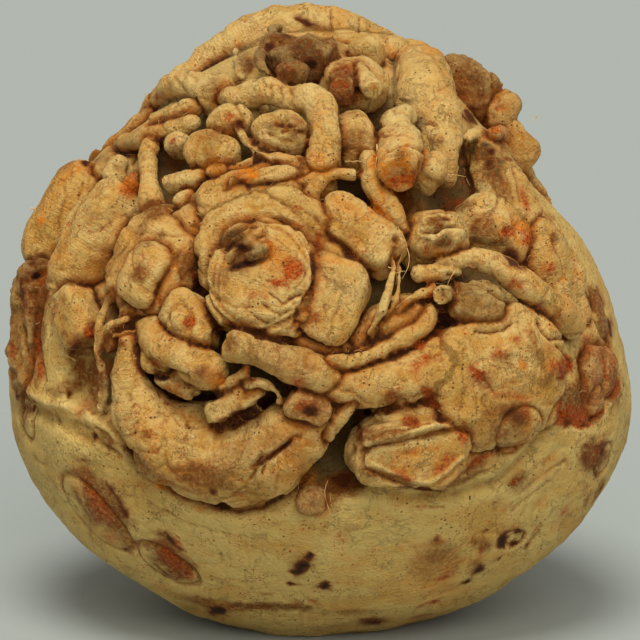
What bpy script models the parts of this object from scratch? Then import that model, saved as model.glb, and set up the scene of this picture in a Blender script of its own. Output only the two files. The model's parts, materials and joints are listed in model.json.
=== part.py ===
"""A celeriac as it is pulled from the ground and washed: one grown piece, root side to the front.

The bulb is a lopsided ball of pale skin. Its front and top carry the tangle of cut and broken side
roots, its back carries the crown where the leaf stalks were cut off, and it rests on a small flat
spot under its weight. Run with: blender --background --python part.py
"""

import math
import random

import bmesh
import bpy
import numpy as np
from mathutils import Matrix, Vector, noise
from mathutils.bvhtree import BVHTree

MM = 0.001

# Driving sizes of the bulb without its roots, in millimetres
OUTLINE = (  # from the middle to the edge of the bulb, every 22.5 degrees from the right over the top
    67.5, 62.5, 57.5, 64.5, 69.0, 66.5, 61.5, 64.0, 67.5, 69.0, 67.0, 65.0, 64.0, 65.5, 69.5, 71.0,
)
HALF_DEPTH = 56.5
SLOW_LUMPS = ((34.0, 1.6), (15.0, 0.7))  # size of the lumps and how far they rise
FOOT_LEVEL = -61.4  # height of the flat resting spot
FACE_TILT = math.radians(12.0)  # the root face leans back this far

# Mesh fineness
FUSE_CELL = 0.9 * MM  # cell in which the pieces grow together
SOLID_TRIANGLES = 11600
LOBE_SUBDIVISIONS = 4
LOBE_STEEPNESS = 0.9  # how much squarer a lobe is from the side than from the front
BULB_SUBDIVISIONS = 6
ROOT_STEP = 0.8  # spacing of the points along a root
SEAM_DEPTH = 0.9 * MM  # how deep the creases between the pieces are drawn in
SEAM_SPREAD = 3  # rounds of spreading a crease over the mesh
DOME_ANGLES = (25, 50, 70, 84)  # the rings that close a root's round end, in degrees
ROOT_BEVEL = 5  # a root has 2 * (this + 2) sides

# The root face is laid out as seen from the front: across is to the right and up is up, both from
# the middle of the bulb. Lift is how far a centre stands out of the skin. All in millimetres.

# The hollow that the tangle grew in: across, up, half width, half height, depth
HOLLOWS = (
    (-3.0, 16.0, 50.0, 50.0, 8.0),
    (5.0, -24.0, 9.0, 9.0, 6.0),
    (-49.0, -7.0, 7.0, 9.0, 4.0),
    (12.0, 46.0, 12.0, 12.0, 5.0),
    (15.0, 36.0, 9.0, 6.0, 5.0),
)
HOLLOW_SLOPE = 0.25  # share of a hollow's width over which it gets deep
FACE_FADE = 0.3  # how soon hollows fade where the face turns into the flank

# Grooves in the skin along the foot of the big lobes: name, half width, depth, (across, up) points
GROOVES = (
    ("under_bag", 2.4, 3.2, ((-43.9, -6.0), (-44.4, -12.0), (-43.6, -16.8), (-40.0, -23.6), (-33.2, -29.8),
     (-26.0, -34.0), (-17.2, -35.6), (-9.6, -34.4), (-2.6, -28.8), (0.8, -21.8), (3.2, -15.5))),
    ("under_bulge", 2.2, 2.0, ((10.0, -30.0), (18.0, -32.4), (30.0, -32.4), (40.0, -29.0), (47.0, -22.5),
     (50.6, -14.0), (50.4, -4.0), (51.0, 3.0))),
    ("under_left", 2.2, 1.6, ((-70.0, -13.0), (-61.0, -14.0), (-55.0, -16.5), (-50.0, -20.0))),
)

# How much a lobe is swollen out of shape: fineness and share of its size
LOBE_WOBBLES = ((1.3, 0.10), (3.1, 0.04))
LOBE_SEED_STEP = 7.3

# Lobes: name, across, up, lift, (half length, half width, half height), turn, squareness
LOBES = (
    ("hood", -12.4, 19.0, -1.6, (13.0, 13.4, 9.4), 80, 2.4),
    ("cap", -11.1, 13.8, 2.4, (12.3, 12.1, 7.4), 80, 3.0),
    ("fold_ridge", -16.6, 22.8, 8.0, (4.8, 1.7, 2.4), 38, 2.2),
    ("fold_bud", -12.6, 19.4, 8.8, (3.1, 1.9, 2.3), 14, 2.2),
    ("hood_brow", -3.7, 28.1, 0.6, (8.9, 3.6, 5.0), -30, 2.5),
    ("chin", -4.6, 6.0, 5.8, (3.4, 1.7, 2.4), 14, 2.4),
    ("bead", -9.6, 6.8, 6.8, (2.1, 1.8, 2.0), 0, 2.2),
    ("wedge_lump", -3.2, 9.9, 6.6, (2.4, 1.5, 2.0), 35, 2.4),
    ("hood_shelf", -12.0, 31.5, -3.4, (16.0, 6.5, 8.0), 12, 2.4),
    ("cheek", -33.0, 17.5, -3.5, (13.0, 12.0, 8.0), 60, 2.3),
    ("tongue", -35.5, 15.0, 1.2, (7.6, 5.6, 5.8), 55, 2.8),
    ("temple", -27.0, 24.0, -2.0, (9.0, 6.0, 6.0), 35, 2.2),
    ("slant_knob", -26.6, 5.0, 0.8, (7.6, 5.0, 5.8), -52, 2.3),
    ("hood_slab", 1.6, 9.9, -2.2, (8.0, 9.7, 8.8), -20, 5.0),
    ("leaf", 8.9, 23.5, 0.6, (10.6, 5.7, 5.4), -40, 3.2),
    ("hood_leaf_root", 3.4, 17.6, -1.0, (7.0, 3.6, 5.0), -60, 2.2),
    ("ball_under_arch", 7.7, 43.8, -1.0, (6.7, 4.7, 6.2), 100, 2.2),
    ("arch_knob", -8.1, 44.7, 1.5, (6.0, 4.9, 5.6), 12, 2.4),
    ("arch_knob_pucker", -5.5, 45.9, 5.0, (2.8, 1.9, 2.2), -10, 2.0),
    ("ridged_knob", -18.5, 47.6, 1.5, (4.5, 3.0, 4.4), 18, 2.2),
    ("potato_knob", -22.5, 40.8, 1.0, (6.2, 4.3, 5.4), -20, 2.5),
    ("arch_back_lump", -22.0, 54.8, 1.0, (4.8, 3.3, 4.0), 20, 2.1),
    ("small_dot_knob", -30.5, 43.3, 1.0, (3.0, 2.4, 3.0), 0, 2.2),
    ("blade", -43.4, 37.5, 1.0, (3.7, 2.0, 3.2), 115, 2.4),
    ("orange_bean", -39.6, 34.3, 1.0, (3.0, 2.2, 3.2), 70, 2.0),
    ("spindle_left", -28.1, 35.4, 2.2, (5.6, 1.9, 2.6), -5, 2.4),
    ("spindle_right", -10.5, 35.8, 3.0, (7.3, 2.1, 2.7), 2, 2.2),
    ("peg_knob", -28.2, 30.6, 1.0, (2.8, 1.9, 3.0), 50, 2.0),
    ("disc_knob", -23.7, 29.1, 0.8, (3.4, 2.6, 2.8), 20, 2.4),
    ("bean_knob", -21.1, 37.0, 2.2, (2.8, 1.9, 2.4), -15, 2.0),
    ("square_peg", -21.3, 33.4, 1.5, (1.9, 1.5, 2.6), 10, 3.0),
    ("globe", -54.4, 27.4, -1.0, (13.6, 7.8, 8.0), 60, 2.3),
    ("pillow", -48.0, 22.4, -0.4, (14.2, 6.8, 7.4), 53, 2.3),
    ("star_flap", -51.6, 6.2, 0.6, (7.2, 5.0, 4.6), -50, 3.0),
    ("corky_lobe", -61.2, 3.6, -2.8, (15.4, 6.8, 6.0), 93, 2.6),
    ("dark_ball", -44.0, 0.5, 0.0, (2.4, 2.2, 3.0), 0, 2.0),
    ("flap", -17.6, -11.8, 2.4, (7.2, 3.6, 3.2), 28, 2.8),
    ("hollow_end", -1.9, -12.8, 4.0, (5.0, 4.0, 3.2), -20, 2.6),
    ("pit_ball", -1.2, -32.6, 0.2, (3.1, 3.0, 2.6), 0, 2.3),
    ("belly_bulge", 36.5, -6.6, -2.2, (17.0, 15.6, 8.0), 15, 2.5),
    ("box_block", 19.4, -22.2, -0.6, (12.2, 7.2, 6.6), -4, 5.0),
    ("box_ridge", 19.0, -18.0, 1.4, (10.8, 2.4, 4.2), 4, 3.4),
    ("box_brow", 22.0, -14.2, -1.6, (11.0, 3.2, 5.4), 2, 2.8),
    ("folded_knob", 24.5, 22.5, 0.8, (6.8, 5.8, 7.2), 0, 2.5),
    ("folded_lip", 27.2, 22.7, 6.4, (4.5, 1.7, 2.4), 14, 2.2),
    ("grey_bridge", 37.5, 24.0, -3.8, (10.0, 7.4, 7.0), -20, 2.3),
    ("rough_knob", 32.6, 8.4, 0.6, (7.0, 5.5, 6.0), -4, 2.5),
    ("rough_chin", 35.8, 5.8, 2.4, (4.5, 2.8, 3.6), 20, 2.4),
    ("patch_lobe", 56.5, -8.6, -5.2, (10.4, 8.2, 7.0), 95, 2.6),
    ("patch_rim", 60.6, -5.0, -4.2, (9.0, 2.6, 4.0), 104, 2.2),
    ("shoulder_right", 49.6, 13.8, -5.4, (15.0, 9.6, 7.4), -55, 2.3),
    ("scab_lobe", 32.5, 57.2, -2.6, (8.5, 4.7, 6.4), 106, 2.3),
    ("edge_lump", 40.7, 52.5, -0.8, (4.0, 3.8, 4.6), 40, 2.1),
    ("edge_lobe", 42.8, 44.3, -1.6, (6.9, 3.8, 5.4), 112, 2.3),
    ("top_mass", 4.0, 61.5, -8.0, (22.0, 11.0, 9.0), -8, 2.2),
    ("top_bed", 8.0, 56.6, -1.2, (7.8, 6.2, 5.6), 10, 2.3),
    ("crust_brown", -8.6, 63.9, 0.6, (3.1, 3.3, 4.8), 60, 2.2),
    ("crust_bed", -2.6, 62.3, 0.0, (7.9, 5.9, 4.0), -20, 2.3),
    ("crust_barnacle", -5.5, 58.5, 3.0, (3.7, 2.8, 3.6), -10, 2.0),
    ("crust_grey", -0.2, 62.6, 1.6, (4.8, 4.2, 4.6), -35, 2.6),
    ("crust_ridge", -0.9, 70.2, 0.4, (4.5, 1.6, 3.6), -18, 2.3),
    ("nut", 5.1, 55.9, 2.2, (3.7, 2.8, 3.4), 90, 2.6),
    ("pale_lump", 10.3, 62.0, -1.6, (4.4, 3.2, 6.4), -5, 2.3),
    ("understep", -1.6, -1.2, -2.0, (11.4, 5.4, 6.2), -14, 2.5),
    ("underslab", 14.5, 3.2, -2.6, (10.6, 5.6, 6.6), 32, 2.4),
    ("collar", 22.6, 37.9, 2.4, (4.5, 3.4, 4.8), -50, 2.4),
    ("chip", -48.8, 40.8, -0.8, (2.5, 1.6, 2.6), 30, 2.0),
)

# Roots: name, shape of the far end, then (across, up, lift, radius) from one end to the other
ROOTS = (
    ("top_arch", "round", ((-37.0, 55.5, 0.6, 1.6), (-33.5, 57.2, 0.4, 2.4), (-29.0, 60.6, 0.4, 3.1),
     (-23.5, 64.4, 0.6, 4.2), (-17.0, 68.0, 0.6, 5.4), (-9.5, 70.6, 0.6, 5.9), (-1.0, 71.2, 0.0, 5.4),
     (7.0, 69.6, -0.8, 4.8), (14.0, 66.6, -1.8, 4.4))),
    ("trunk", "round", ((22.2, 60.3, 0.4, 6.6), (23.2, 55.3, 0.6, 6.9), (25.1, 50.3, 0.8, 6.2),
     (26.7, 44.4, 1.4, 5.0), (27.4, 39.7, 1.4, 3.8), (27.6, 36.7, 0.6, 2.6))),
    ("stub", "cut", ((18.2, 48.8, 1.0, 3.8), (17.2, 46.4, 3.6, 4.2), (17.8, 43.2, 5.2, 4.9),
     (17.7, 39.9, 7.2, 4.9), (16.9, 36.3, 9.8, 4.2))),
    ("grey_tongue", "round", ((36.0, 42.5, 1.2, 4.4), (37.7, 38.5, 0.4, 5.6), (39.9, 33.2, -1.2, 7.2),
     (41.5, 26.8, -3.0, 7.6), (42.7, 20.6, -4.8, 5.8))),
    ("grey_rim", "round", ((32.5, 45.3, 2.8, 1.2), (35.6, 46.6, 3.2, 1.4), (39.0, 45.9, 3.0, 1.5),
     (41.6, 42.1, 2.8, 1.4), (43.5, 37.3, 2.6, 1.3), (45.0, 32.5, 2.4, 1.1))),
    ("strap", "round", ((26.0, 18.2, 4.2, 1.2), (31.0, 19.0, 5.4, 2.0), (36.5, 18.0, 5.6, 2.8),
     (42.0, 14.8, 5.2, 3.2), (47.0, 10.8, 4.2, 3.7), (51.4, 7.4, 2.8, 4.0), (54.6, 5.0, 1.6, 3.5))),
    ("strap_stub", "round", ((21.6, 15.4, 3.6, 1.9), (24.6, 15.6, 3.6, 2.1), (28.5, 15.8, 3.0, 1.9))),
    ("eye_peg", "cut", ((30.0, 10.4, 0.0, 2.0), (27.4, 10.7, 4.0, 2.2), (26.0, 10.8, 7.4, 2.1))),
    ("crossing_root", "point", ((24.5, 12.0, 3.5, 1.5), (20.5, 10.2, 3.0, 1.3), (16.5, 7.0, 2.8, 1.2),
     (12.5, 2.2, 2.8, 1.2), (7.0, -1.2, 2.6, 0.9))),
    ("blunt_root", "round", ((1.5, -3.9, 4.6, 2.0), (5.7, -3.4, 4.4, 2.2), (10.2, -2.0, 3.8, 1.8),
     (14.6, 0.0, 3.0, 2.2), (18.6, 2.4, 2.0, 3.0), (23.0, 6.4, 0.6, 3.2))),
    ("hanging_root", "point", ((16.2, 22.4, 6.0, 0.9), (15.8, 15.5, 5.5, 0.8), (13.8, 8.0, 5.0, 0.8),
     (10.5, 2.6, 4.0, 0.7))),
    ("hanging_root_twin", "point", ((17.2, 19.0, 3.5, 0.8), (16.6, 10.0, 3.6, 0.8), (11.5, 1.6, 3.6, 0.6))),
    ("fork_ridge", "cut", ((-3.0, 28.5, 1.0, 3.2), (-1.0, 33.5, 2.0, 2.3), (3.0, 36.6, 3.0, 1.7),
     (8.2, 36.6, 3.5, 1.5))),
    ("fork_ridge_back", "round", ((-12.0, 34.6, 1.0, 2.2), (-6.0, 34.4, 2.0, 2.0), (-0.5, 35.2, 2.5, 2.0))),
    ("square_strap", "cut", ((18.0, 25.0, 2.0, 2.0), (15.0, 29.5, 2.5, 2.6), (12.0, 34.0, 3.0, 2.4),
     (10.8, 38.5, 3.5, 2.1), (10.8, 41.0, 3.5, 2.1))),
    ("big_arch", "round", ((-24.5, 54.8, 0.4, 1.4), (-20.8, 54.3, 1.2, 2.2), (-16.9, 54.1, 2.0, 2.8),
     (-13.4, 54.9, 2.4, 3.1), (-9.9, 55.0, 2.8, 3.2), (-6.0, 53.6, 2.8, 2.9), (-2.3, 53.1, 3.0, 3.4),
     (0.5, 51.1, 3.0, 3.6), (1.7, 47.3, 3.0, 3.3), (1.7, 43.2, 2.8, 3.6), (1.1, 38.9, 2.0, 4.0))),
    ("flat_strap", "cut", ((-25.3, 52.4, 0.6, 1.9), (-28.7, 51.4, 1.8, 2.2), (-32.3, 50.1, 2.4, 2.3),
     (-35.9, 49.0, 2.6, 2.4))),
    ("pale_band", "round", ((-46.1, 43.2, 0.0, 1.6), (-41.6, 44.5, 0.8, 2.5), (-36.8, 46.1, 1.2, 2.9),
     (-32.2, 47.0, 1.0, 2.8), (-27.8, 48.2, 0.4, 2.2))),
    ("column_root", "round", ((-36.1, 45.6, 1.2, 2.0), (-36.7, 41.5, 2.2, 2.4), (-36.3, 35.9, 2.4, 2.4),
     (-36.0, 31.5, 1.8, 2.7), (-35.1, 27.8, -0.4, 3.6))),
    ("curled_root", "round", ((-27.5, 24.6, 2.5, 0.8), (-23.8, 26.7, 3.5, 0.9), (-21.0, 29.7, 3.8, 1.0),
     (-19.3, 32.9, 4.0, 1.0), (-18.1, 35.6, 4.8, 1.1))),
    ("branch_root", "round", ((-18.0, 48.0, 3.0, 0.8), (-15.8, 44.6, 4.0, 1.0), (-13.6, 41.9, 4.2, 1.1),
     (-11.0, 40.5, 4.4, 1.1), (-8.3, 40.3, 4.2, 1.2), (-5.7, 39.0, 3.4, 1.6), (-4.2, 36.9, 2.4, 1.6))),
    ("branch_root_low", "round", ((-11.7, 40.8, 3.6, 1.0), (-14.9, 39.3, 3.0, 1.2),
     (-18.3, 37.5, 2.2, 1.2))),
    ("edge_root", "round", ((-47.9, 42.5, -0.6, 1.4), (-44.4, 45.7, -0.8, 2.2), (-40.5, 49.0, -0.8, 2.6),
     (-37.6, 51.7, -0.4, 2.2), (-35.4, 54.0, 0.0, 1.6))),
    ("side_strap", "round", ((-42.5, 13.0, 2.5, 1.2), (-46.6, 6.0, 2.2, 1.1), (-47.6, 0.0, 2.0, 1.1),
     (-46.2, -6.0, 1.8, 1.2), (-46.4, -13.0, 0.5, 1.3))),
    ("side_strap_branch", "round", ((-41.0, 6.0, 3.0, 1.2), (-45.0, 3.6, 2.6, 1.2), (-47.4, -1.0, 2.0, 1.0))),
    ("tie_root", "round", ((-43.8, 1.8, 2.5, 0.7), (-41.6, 2.8, 3.4, 0.7), (-38.8, 3.4, 2.5, 0.7))),
    ("cheek_neck", "round", ((-38.0, 11.0, 0.0, 3.4), (-40.6, 6.5, 1.0, 2.4), (-41.5, 3.0, 1.0, 1.8))),
    ("bag", "round", ((-40.8, 1.0, 2.4, 2.2), (-40.6, -6.5, 1.2, 3.8), (-37.2, -14.4, -1.0, 6.8),
     (-30.4, -20.2, -3.4, 9.8), (-21.0, -23.4, -4.4, 11.0), (-12.2, -22.4, -3.8, 10.4),
     (-5.4, -18.0, -1.6, 8.2), (-1.8, -13.6, 0.4, 5.6))),
    ("foot", "round", ((-35.8, 3.3, 0.0, 3.8), (-32.3, 0.3, 1.4, 5.0), (-27.9, -2.6, 2.4, 5.4),
     (-23.7, -5.1, 3.0, 4.9))),
    ("foot_heel", "round", ((-35.0, -2.5, 0.6, 3.4), (-31.6, -6.0, 1.0, 3.4), (-27.5, -9.0, 1.0, 2.8))),
    ("small_peg", "round", ((-20.2, -9.2, 4.5, 1.2), (-17.6, -7.2, 5.2, 1.3), (-15.2, -5.4, 5.6, 1.4))),
    ("curl_peg", "round", ((-14.6, -8.4, 5.0, 1.4), (-12.4, -7.6, 5.4, 1.5), (-9.6, -9.0, 4.2, 1.3),
     (-8.0, -11.6, 3.2, 0.9))),
    ("handset", "round", ((-16.8, 0.4, 7.0, 4.2), (-13.0, -0.9, 6.6, 3.6), (-8.4, -2.5, 6.0, 3.5),
     (-4.2, -4.2, 5.2, 4.1), (0.0, -5.9, 3.6, 4.6), (3.8, -7.4, 2.2, 4.4))),
    ("belly", "round", ((-0.5, -7.2, 2.6, 4.2), (6.5, -8.2, 2.0, 4.7), (12.0, -8.0, 1.2, 5.4),
     (18.5, -6.6, 0.0, 6.4), (27.5, -4.0, -2.2, 8.0), (34.0, -3.6, -5.0, 8.6))),
    ("twig", "cut", ((2.2, -18.4, 1.2, 2.0), (4.6, -15.0, 2.8, 1.8), (7.6, -11.2, 4.2, 1.3))),
    ("pale_peg", "cut", ((8.5, 60.5, 1.8, 2.4), (10.2, 57.8, 3.6, 2.5), (11.9, 54.9, 5.4, 2.4))),
    ("orange_peg", "round", ((43.2, 45.7, 2.0, 2.1), (41.2, 46.6, 4.2, 1.9), (38.5, 46.3, 6.2, 1.5))),
    ("crust_rim", "round", ((-7.4, 71.7, 3.0, 0.8), (-10.6, 69.2, 3.4, 0.9), (-12.5, 65.3, 3.6, 1.0),
     (-12.2, 61.5, 3.6, 1.0), (-10.6, 58.9, 3.0, 0.9))),
    ("upright_twig", "round", ((-18.0, 64.5, 3.0, 0.7), (-17.5, 61.3, 2.6, 0.8), (-16.7, 58.3, 2.0, 0.9))),
)

# Rings drawn into the skin, round scars and folds: across, up, half length, half width, turn, depth
# of the ring, height of the dome inside it
FACE_RINGS = (
    (-48.5, -36.5, 11.0, 6.5, -58, 0.8, 0.3),
    (-33.0, -48.0, 8.0, 5.0, -50, 0.8, 0.3),
    (41.5, -17.5, 5.9, 5.8, 0, 0.7, 0.5),
    (61.8, -24.5, 4.0, 3.6, 40, 0.8, -0.6),
    (43.5, -42.5, 2.3, 2.2, 0, 0.8, -0.6),
    (61.6, 7.4, 6.4, 4.0, -62, 0.9, 0.6),
    (-63.0, -15.5, 5.0, 3.4, 90, 0.8, 0.2),
    (-11.2, 14.0, 12.6, 12.2, 80, 0.9, 0.4),
    (-11.0, 13.4, 10.6, 10.0, 80, 0.4, 0.2),
    (-18.4, 1.4, 2.7, 2.5, 0, 0.3, -0.9),
    (-2.2, -13.8, 3.6, 2.9, -30, 0.3, -1.6),
    (-26.6, 5.6, 3.2, 2.6, -50, 0.4, 0.2),
    (50.0, -14.0, 4.4, 3.4, 60, 0.5, 0.3),
    (60.0, -12.0, 4.0, 3.2, 80, 0.5, 0.3),
)
RING_WIDTH = 0.55  # how wide a ring is drawn, in millimetres
RING_REACH = (-9.0, 13.0)  # a ring marks what lies this far under and over the bulb's skin

# The rest of the skin is placed by compass: turn from the front towards the viewer's right, and
# height above the middle, in degrees.
SWELLS = (  # turn, height, reach in degrees, rise in millimetres
    (178.0, -10.0, 30.0, 5.5),
    (114.0, 36.0, 17.0, 2.4),
    (74.0, -10.0, 20.0, 1.8),
    (140.0, 44.0, 19.0, 3.6),
    (-152.0, 46.0, 18.0, 3.8),
    (-106.0, 40.0, 16.0, 3.6),
    (-92.0, -18.0, 24.0, 2.0),
    (-128.0, 4.0, 20.0, 2.6),
    (126.0, 0.0, 20.0, 2.8),
    (150.0, -44.0, 22.0, 1.6),
    (-150.0, -42.0, 20.0, 1.8),
    (180.0, -74.0, 26.0, 1.8),
)
BACK_FOLDS = (  # valleys between the swells: (turn, height) points, half width in degrees, depth
    (((118.0, 62.0), (120.0, 40.0), (114.0, 20.0), (108.0, 2.0), (106.0, -18.0)), 7.0, 1.8),
    (((-128.0, 66.0), (-128.0, 44.0), (-116.0, 24.0), (-109.0, 4.0), (-112.0, -16.0)), 7.0, 1.8),
    (((172.0, 66.0), (176.0, 48.0), (170.0, 30.0)), 6.0, 1.6),
    (((148.0, 24.0), (140.0, 10.0), (146.0, -8.0), (150.0, -26.0)), 6.0, 1.3),
    (((-152.0, 26.0), (-146.0, 10.0), (-147.0, -8.0), (-152.0, -26.0)), 6.0, 1.3),
)
CROWN_TURN, CROWN_HEIGHT = 178.0, -10.0
CROWN_RINGS = (  # radius of the ring, stalks, stalk radius, how far the cut stalk stands out
    (4.4, 3, 2.6, 4.2),
    (10.8, 7, 3.6, 3.2),
    (17.6, 11, 3.9, 1.8),
)
STALK_FOOT_DEPTH = 3.0  # how far a stalk reaches into the bulb
STALK_LEAN = 1.8  # how far its top leans out from the crown's middle
STALK_FLARE = 1.15  # its foot is this much thicker
STALK_VARIES = (0.3, 1.0, 0.15)  # in its place round the ring, its length and its thickness
LEAF_SCARS = (24.0, 28.5, 33.0)  # radii of the ridges that older leaves left round the crown
LEAF_SCAR_RISE = 0.7
NUB_SEED = 11
NUB_COUNT = 18
NUB_TURNS, NUB_HEIGHTS = (98.0, 262.0), (-48.0, 48.0)
NUB_CROWN_GAP = 38.0  # none this near the crown, in degrees
NUB_SIZES = (2.2, 4.4)
NUB_WIDTHS = (0.7, 1.0)  # narrower than long by this share
NUB_HEIGHT, NUB_SINK = 0.6, 0.15  # shares of its size: how high it is and how deep it sits
NUB_SQUARENESS, NUB_SEED_STEP = 2.2, 13.0
BACK_ROOTS = (  # name, then (turn, height, lift, radius)
    ("top_over_back", ((92.0, 72.0, -0.6, 4.4), (115.0, 67.0, 0.4, 4.8), (146.0, 55.0, 0.6, 3.8),
     (158.0, 42.0, 0.2, 2.6), (162.0, 30.0, -0.8, 1.6))),
    ("left_over_back", ((-40.0, 68.0, 0.6, 4.0), (-90.0, 64.0, 0.4, 3.8), (-112.0, 51.0, 0.6, 2.8),
     (-121.0, 36.0, 0.0, 1.8), (-123.0, 24.0, -1.0, 1.2))),
    ("flank_right", ((106.0, 43.0, -0.4, 2.6), (109.0, 34.0, 0.4, 2.6), (112.0, 20.0, 0.0, 2.0),
     (114.0, 6.0, -1.0, 1.4))),
    ("flank_left", ((-82.0, 40.0, 0.6, 2.4), (-92.0, 26.0, 0.8, 2.4), (-98.0, 12.0, 0.2, 1.8),
     (-98.0, 0.0, -1.0, 1.2))),
    ("back_left", ((-128.0, 68.0, 0.4, 2.8), (-150.0, 56.0, 1.2, 2.6), (-160.0, 42.0, 0.6, 1.8),
     (-163.0, 32.0, -0.8, 1.2))),
)

SKIN = ("celeriac_skin", (0.62, 0.45, 0.23), 0.62)


RIGHT = Vector((1.0, 0.0, 0.0))
UP = Vector((0.0, math.sin(FACE_TILT), math.cos(FACE_TILT)))
INWARD = Vector((0.0, math.cos(FACE_TILT), -math.sin(FACE_TILT)))


def face_direction(across, up):
    """A direction in the plane of the root face."""
    return RIGHT * across + UP * up


def edge_radius(across, up):
    """Distance from the middle to the bulb's edge towards (across, up), eased between the measures."""
    place = math.degrees(math.atan2(up, across)) % 360.0 / 22.5
    i, t = int(place), place - int(place)
    a, b, c, d = (OUTLINE[(i + k) % len(OUTLINE)] for k in (-1, 0, 1, 2))
    return 0.5 * (2 * b + (c - a) * t + (2 * a - 5 * b + 4 * c - d) * t ** 2
                  + (3 * b - a - 3 * c + d) * t ** 3)


def skin_normal(point):
    """The way out of the bulb at a point of its skin."""
    across, up, inward = point.dot(RIGHT), point.dot(UP), point.dot(INWARD)
    radius = edge_radius(across, up)
    way = face_direction(across, up) / radius ** 2 + INWARD * inward / HALF_DEPTH ** 2
    return way.normalized()


def on_face(across, up, lift=0.0):
    """The point that lies at (across, up) as seen from the front, on the skin lifted by lift."""
    reach = math.hypot(across, up) / (edge_radius(across, up) + lift)
    inward = (HALF_DEPTH + lift) * math.sqrt(max(0.0, 1.0 - reach * reach))
    return face_direction(across, up) - INWARD * inward


def on_way(way, lift=0.0):
    """The point of the lifted skin in a direction from the middle of the bulb."""
    across, up, inward = way.dot(RIGHT), way.dot(UP), way.dot(INWARD)
    reach = math.hypot(across, up) / (edge_radius(across, up) + lift)
    return way / math.hypot(reach, inward / (HALF_DEPTH + lift))


def surface_frame(point, along):
    """Axes at a skin point, as columns: along the skin, across it and out of it."""
    out = skin_normal(point)
    along = (along - out * along.dot(out)).normalized()
    return Matrix((along, out.cross(along), out)).transposed()


def ease(share):
    share = min(1.0, max(0.0, share))
    return share * share * (3.0 - 2.0 * share)


def distance_to_line(place, line):
    nearest = math.inf
    for start, end in zip(line, line[1:]):
        start, way = Vector(start), Vector(end) - Vector(start)
        share = min(1.0, max(0.0, (place - start).dot(way) / way.length_squared))
        nearest = min(nearest, (place - start - way * share).length)
    return nearest


def hollow_depth(across, up):
    """How deep the tangle's hollows and grooves are at a place of the root face."""
    depth = 0.0
    for middle_across, middle_up, half_width, half_height, full in HOLLOWS:
        reach = math.hypot((across - middle_across) / half_width, (up - middle_up) / half_height)
        depth += full * ease((1.0 - reach) / HOLLOW_SLOPE)
    for _, half_width, full, line in GROOVES:
        distance = distance_to_line(Vector((across, up)), line)
        depth += full * ease(1.0 - distance / half_width)
    return depth


def compass_way(turn, height):
    """The direction of a compass turn from the front and a height angle."""
    turn, height = math.radians(turn), math.radians(height)
    level = math.cos(height)
    return Vector((math.sin(turn) * level, -math.cos(turn) * level, math.sin(height)))


def back_swell(way):
    """How far the flanks and the back stand out of the plain bulb in a direction."""
    rise = 0.0
    for turn, height, reach, full in SWELLS:
        apart = math.degrees(way.angle(compass_way(turn, height)))
        rise += full * math.exp(-(apart / reach) ** 2)
    for line, half_width, depth in BACK_FOLDS:
        nearest = distance_to_line(way, [compass_way(turn, height) for turn, height in line])
        rise -= depth * ease(1.0 - math.degrees(nearest) / half_width)
    from_crown = way.angle(compass_way(CROWN_TURN, CROWN_HEIGHT)) * HALF_DEPTH
    for radius in LEAF_SCARS:
        rise += LEAF_SCAR_RISE * math.exp(-(from_crown - radius) ** 2)
    return rise


def bulb_point(way):
    """The skin of the bulb in a direction from its middle, with its slow lumps and hollows."""
    point = on_way(way)
    swell = back_swell(way)
    for size, rise in SLOW_LUMPS:
        swell += rise * noise.noise(point / size)
    facing = -way.dot(INWARD)
    if facing > 0.0:
        swell -= hollow_depth(point.dot(RIGHT), point.dot(UP)) * min(1.0, facing / FACE_FADE)
    return point + skin_normal(point) * swell


def add_bulb(mesh):
    made = bmesh.ops.create_icosphere(mesh, subdivisions=BULB_SUBDIVISIONS, radius=1.0)
    for vertex in made["verts"]:
        vertex.co = bulb_point(vertex.co.normalized())


def add_lobe(mesh, point, along, halves, squareness, seed):
    """A rounded growth at a skin point. A higher squareness makes it more like a worn block."""
    frame = surface_frame(point, along)
    steep = squareness + LOBE_STEEPNESS
    made = bmesh.ops.create_icosphere(mesh, subdivisions=LOBE_SUBDIVISIONS, radius=1.0)
    for vertex in made["verts"]:
        way = vertex.co.normalized()
        level = (abs(way.x) ** squareness + abs(way.y) ** squareness) ** (steep / squareness)
        size = (level + abs(way.z) ** steep) ** (-1.0 / steep)
        for fineness, share in LOBE_WOBBLES:
            size *= 1.0 + share * noise.noise(way * fineness + Vector((seed, fineness, 0.0)))
        vertex.co = point + frame @ Vector(w * size * h for w, h in zip(way, halves))


def smooth_line(stations):
    """A smooth line through (point, radius) stations, sampled at the root step."""
    places = [place for place, _ in stations]
    radii = [radius for _, radius in stations]
    places = [2 * places[0] - places[1], *places, 2 * places[-1] - places[-2]]
    radii = [radii[0], *radii, radii[-1]]
    line = []
    for i in range(1, len(places) - 2):
        a, b, c, d = places[i - 1:i + 3]
        steps = max(2, round((c - b).length / ROOT_STEP))
        for step in range(steps + (i == len(places) - 3)):
            t = step / steps
            point = 0.5 * ((2 * b) + (c - a) * t + (2 * a - 5 * b + 4 * c - d) * t ** 2
                           + (3 * b - a - 3 * c + d) * t ** 3)
            line.append((point, radii[i] + (radii[i + 1] - radii[i]) * ease(t)))
    return line


def with_round_end(line):
    """The line with points beyond its far end that close it as a dome."""
    point, radius = line[-1]
    way = (point - line[-3][0]).normalized()
    for angle in DOME_ANGLES:
        bend = math.radians(angle)
        line = [*line, (point + way * radius * math.sin(bend), radius * math.cos(bend))]
    return line


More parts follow.
